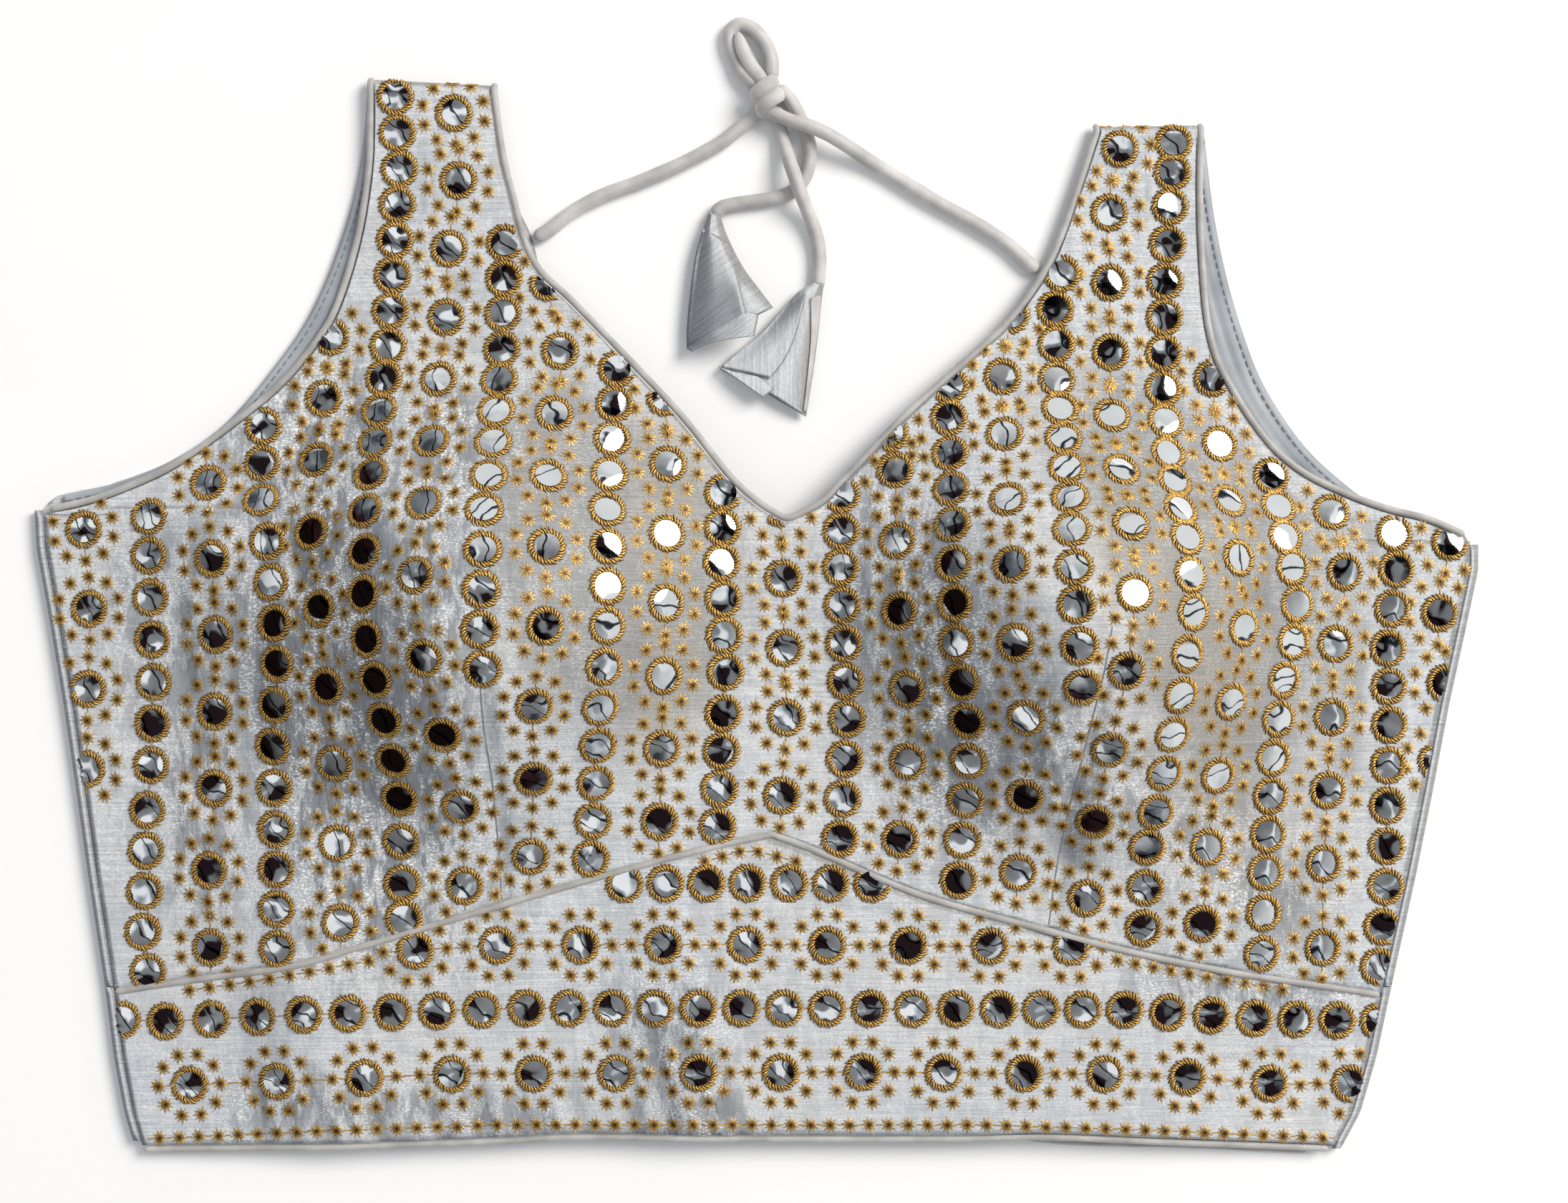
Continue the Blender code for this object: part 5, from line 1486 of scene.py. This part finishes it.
def disc(radii, sides, rise, bow):
    """Points and faces of a bowed disc, as rings of quads round a middle of quads."""
    turn = np.linspace(0.0, 2 * math.pi, sides, endpoint=False)
    points = [np.column_stack((radius * np.cos(turn), radius * np.sin(turn),
                               np.full(sides, rise - radius ** 2 / (2 * bow))))
              for radius in radii]
    faces = [face[::-1] for face in grid_faces(len(radii), sides, closed=True)]
    faces += [(0, step, step + 1, step + 2) for step in range(1, sides - 2, 2)]
    return np.vstack(points), faces


chance = np.random.default_rng(7)
groups = (("bodice", bodice_rings, bodice_outline), ("band", band_rings, band_outline))
mirror_points, mirror_faces = disc(MIRROR_RINGS, MIRROR_SIDES, MIRROR_RISE, MIRROR_BOW)
for part_name, motifs, outline in groups:
    copies("mirrors_" + part_name, mirror_points, mirror_faces, motifs, blown_glass,
           MIRROR_RADIUS, tilt=chance.normal(0.0, MIRROR_TILT, (len(motifs), 2)),
           outline=outline, parts=list(range(len(mirror_faces))))

# The rings round the mirrors: gold zari thread worked over each rim in about 30 slanting
# stitches, which stand up as a ragged rope about 2.5 mm wide and hold the mirror down.
RING_STITCHES = 30
RING_INNER = 3.85
RING_OUTER = 6.3
RING_RAGGED = 0.22
RING_SLANT = 0.19
RING_STITCH_HALF = 0.47
RING_HEIGHT = 1.15
RING_SEAT = 5.0
RING_JITTER = 0.09
RING_EDGE = 0.25
RAGGED_PACE = 2.4
SPIN_RANGE = 6.28
# Each station's last value is its gold share. The low values at a stitch's ends take painted shade.
Station = namedtuple("Station", "share high wide gilt")
RING_STATIONS = (Station(0.0, 0.2, 0.6, 0.25), Station(0.35, 0.95, 1.0, 1.0),
                 Station(0.7, 0.85, 0.95, 0.95), Station(1.0, 0.12, 0.35, 0.6))

# Zari: a flat gold strip wound on a yellow silk core, so every stitch glints along its ridge;
# its sides are painted deep brown, as painted shade between stitches. The winding is drawn 0.35 mm wide,
# a little coarser than it is.
ZARI_WINDING = 0.35
zari, tree, shader, place = start_finish("gilt_zari_thread", Metallic=0.4, Roughness=0.4)
winding = noise(tree, place, ZARI_WINDING, Detail=2.0)
strip = colour_steps(tree, winding,
                     ((0.3, "#9E7026"), (0.46, "#CA9A40"), (0.6, "#E8BE66"), (0.75, "#FFF0C4")))
# Painted shade: where a point's gold share is low, at stitch sides, star holes and valleys, and link
# edges, the gold turns dark brown.
paint(tree, shader, blend(tree, between(tree, noted(tree, "gilt"), 0.12, 0.75), colour("#3C2106"),
                          strip))
emboss(tree, shader, (winding, 0.5, 0.2))


def ring_shape():
    """Points, faces and stitch numbers of one ring, a rope of slanting stitches."""
    points, faces, parts = [], [], []
    for number in range(RING_STITCHES):
        turn = 2 * math.pi * number / RING_STITCHES
        outer = RING_OUTER + RING_RAGGED * math.sin(RAGGED_PACE * number)
        line = []
        for station in RING_STATIONS:
            angle = turn + RING_SLANT * (2 * station.share - 1)
            radius = RING_INNER + (outer - RING_INNER) * station.share
            line.append(np.array((radius * math.cos(angle), radius * math.sin(angle))))
        way = unit(line[-1] - line[0])
        side = np.array((-way[1], way[0]))
        stitch = thread_faces(len(points), len(RING_STATIONS))
        faces += stitch
        parts += [number] * len(stitch)
        for place, station in zip(line, RING_STATIONS):
            half = side * station.wide * RING_STITCH_HALF
            rise = station.high * RING_HEIGHT
            # A stitch's two sides take no gold: this is painted shade between the stitches.
            points += [(*(place + half), rise * RING_EDGE, 0.0), (*place, rise, station.gilt),
                       (*(place - half), rise * RING_EDGE, 0.0)]
    return np.array(points), faces, parts


def loosened(template, count, amount):
    """Copies of a template whose points are each a little off, as handwork is."""
    moved = np.repeat(template[None], count, 0)
    moved[..., :3] += chance.normal(0.0, 1.0, moved[..., :3].shape) * amount
    return moved


ring_points, ring_faces, ring_parts = ring_shape()
for part_name, motifs, outline in groups:
    copies("zari_rings_" + part_name, loosened(ring_points, len(motifs), RING_JITTER), ring_faces,
           motifs, zari, RING_SEAT, spin=chance.uniform(0.0, SPIN_RANGE, len(motifs)),
           outline=outline, parts=ring_parts, drape=True)

# The stars: ten straight stitches of the same thread out of one hole. Ten stars stand evenly
# round each mirror of a flower, and a row of them runs along the hem and below the seam piping.
STAR_RAYS = 10
STAR_REACH = 2.8
STAR_RAGGED = 0.22
STAR_HEIGHT = 0.55
STAR_JITTER = 0.07
FLOWER_STARS = 10
FLOWER_RADIUS = 10.1
# The last value of each point is its gold share. The hole and the valleys take little, as painted shade.
StarPoint = namedtuple("StarPoint", "share high gilt")
STAR_HOLE = StarPoint(0.0, 0.16, 0.0)
STAR_TOP = StarPoint(0.56, STAR_HEIGHT, 1.0)
STAR_TIP = StarPoint(1.0, 0.1, 0.9)
STAR_VALLEY = StarPoint(0.44, 0.12, 0.22)


def star_shape():
    """Points and faces of one star: a low ridge for each stitch, and a hole in the middle painted dark as
    shade.
    """
    points = [(0.0, 0.0, STAR_HOLE.high, STAR_HOLE.gilt)]
    faces = []
    for number in range(STAR_RAYS):
        turn = 2 * math.pi * number / STAR_RAYS
        way = np.array((math.cos(turn), math.sin(turn)))
        gap = np.array((math.cos(turn + math.pi / STAR_RAYS), math.sin(turn + math.pi / STAR_RAYS)))
        reach = STAR_REACH + STAR_RAGGED * math.sin(RAGGED_PACE * number)
        points += [(*way * reach * STAR_TOP.share, STAR_TOP.high, STAR_TOP.gilt),
                   (*way * reach * STAR_TIP.share, STAR_TIP.high, STAR_TIP.gilt),
                   (*gap * STAR_REACH * STAR_VALLEY.share, STAR_VALLEY.high, STAR_VALLEY.gilt)]
        top, tip, valley = (1 + 3 * number + step for step in range(3))
        before = 1 + 3 * ((number - 1) % STAR_RAYS) + 2
        faces += [(0, before, top), (0, top, valley), (before, tip, top), (top, tip, valley)]
    return np.array(points), faces


def flower_stars(motifs):
    """The ten stars round each mirror of a flower, as places of their own."""
    origin, across, along, _ = sewn_places(motifs, FLOWER_RADIUS)
    turns = np.linspace(0.0, 2 * math.pi, FLOWER_STARS, endpoint=False)
    stars = []
    for place, side, way, motif in zip(origin, across, along, motifs):
        for turn in turns:
            spot = place + FLOWER_RADIUS * (side * math.sin(turn) + way * math.cos(turn))
            stars.append(Motif(spot[0], spot[1], motif.along_x, motif.along_y))
    return stars


star_points, star_faces = star_shape()
star_groups = (
    ("bodice", flower_stars(motifs_of(flower_columns, False)), bodice_outline),
    ("band", flower_stars(motifs_of(flower_columns, True)) + motifs_of(star_rows, True),
     band_outline),
)
for part_name, motifs, outline in star_groups:
    kept = inside(np.array([motif[:2] for motif in motifs]), outline)
    motifs = [motif for motif, keep in zip(motifs, kept) if keep]
    copies("zari_stars_" + part_name, loosened(star_points, len(motifs), STAR_JITTER), star_faces,
           motifs, zari, STAR_REACH,
           spin=chance.uniform(0.0, SPIN_RANGE, len(motifs)), drape=True)

# The links: where the needle passes from one motif to the next without being cut, it leaves one
# thin stitch on the cloth, from ring to ring, from flower to flower and from star to star.
LINK_HALF = 0.2
LINK_HEIGHT = 0.32
LINK_STEPS = 4
LINK_SHORTEST = 0.7
LINK_EDGE = 0.02
# A link's edges are painted dark as shade, and its top is gold.
LINK_EDGE_GILT = 0.2
LINK_TOP_GILT = 0.9
LINK_RING_SHARE = 0.96
LINK_RING_OVERLAP = 0.15
STAR_ROW_REACH = STAR_REACH - 0.5


def links_along(motifs, reach):
    """Stitches from each motif of a row to the next, between their rims."""
    ends = []
    for first, second in zip(motifs, motifs[1:]):
        start, end = np.array(first[:2]), np.array(second[:2])
        way = unit(end - start)
        if np.linalg.norm(end - start) > 2 * reach + LINK_SHORTEST:
            ends.append((start + way * reach, end - way * reach))
    return ends


def links_inside(motifs):
    """Stitches from the ring of each flower to its stars before and behind."""
    ends = []
    for motif in motifs:
        middle, way = np.array(motif[:2]), np.array(motif[2:])
        for sign in (-1, 1):
            ends.append((middle + sign * way * RING_OUTER * LINK_RING_SHARE,
                         middle + sign * way * (FLOWER_RADIUS - STAR_ROW_REACH)))
    return ends


def sew_links(name, ends, outline):
    """One thin ridge of thread for each pair of ends that lie on the panel."""
    points, faces = [], []
    for start, end in ends:
        if not inside(np.array((start, end)), outline).all():
            continue
        way = unit(end - start)
        side = np.array((-way[1], way[0])) * LINK_HALF
        faces += thread_faces(len(points), LINK_STEPS + 1)
        for share in np.linspace(0.0, 1.0, LINK_STEPS + 1):
            place = start + (end - start) * share
            points += [(*(place + side), LINK_EDGE, LINK_EDGE_GILT), (*place, LINK_HEIGHT, LINK_TOP_GILT),
                       (*(place - side), LINK_EDGE, LINK_EDGE_GILT)]
    points = np.array(points)
    heights = cloth_height(points[:, 0], points[:, 1]) + points[:, 2]
    piece = make_piece(name, np.column_stack((points[:, :2], heights)), faces, zari)
    note(piece, "gilt", points[:, 3])


for part_name, on_band, outline in (("bodice", False, bodice_outline),
                                    ("band", True, band_outline)):
    ends = links_inside(motifs_of(flower_columns, on_band))
    for names, reach in ((mirror_columns, RING_OUTER - LINK_RING_OVERLAP),
                         (flower_columns, FLOWER_RADIUS + STAR_ROW_REACH),
                         (star_rows, STAR_ROW_REACH)):
        for column_name in names:
            if (column_name in band_names) == on_band:
                ends += links_along(marked[column_name], reach)
    sew_links("zari_links_" + part_name, ends, outline)
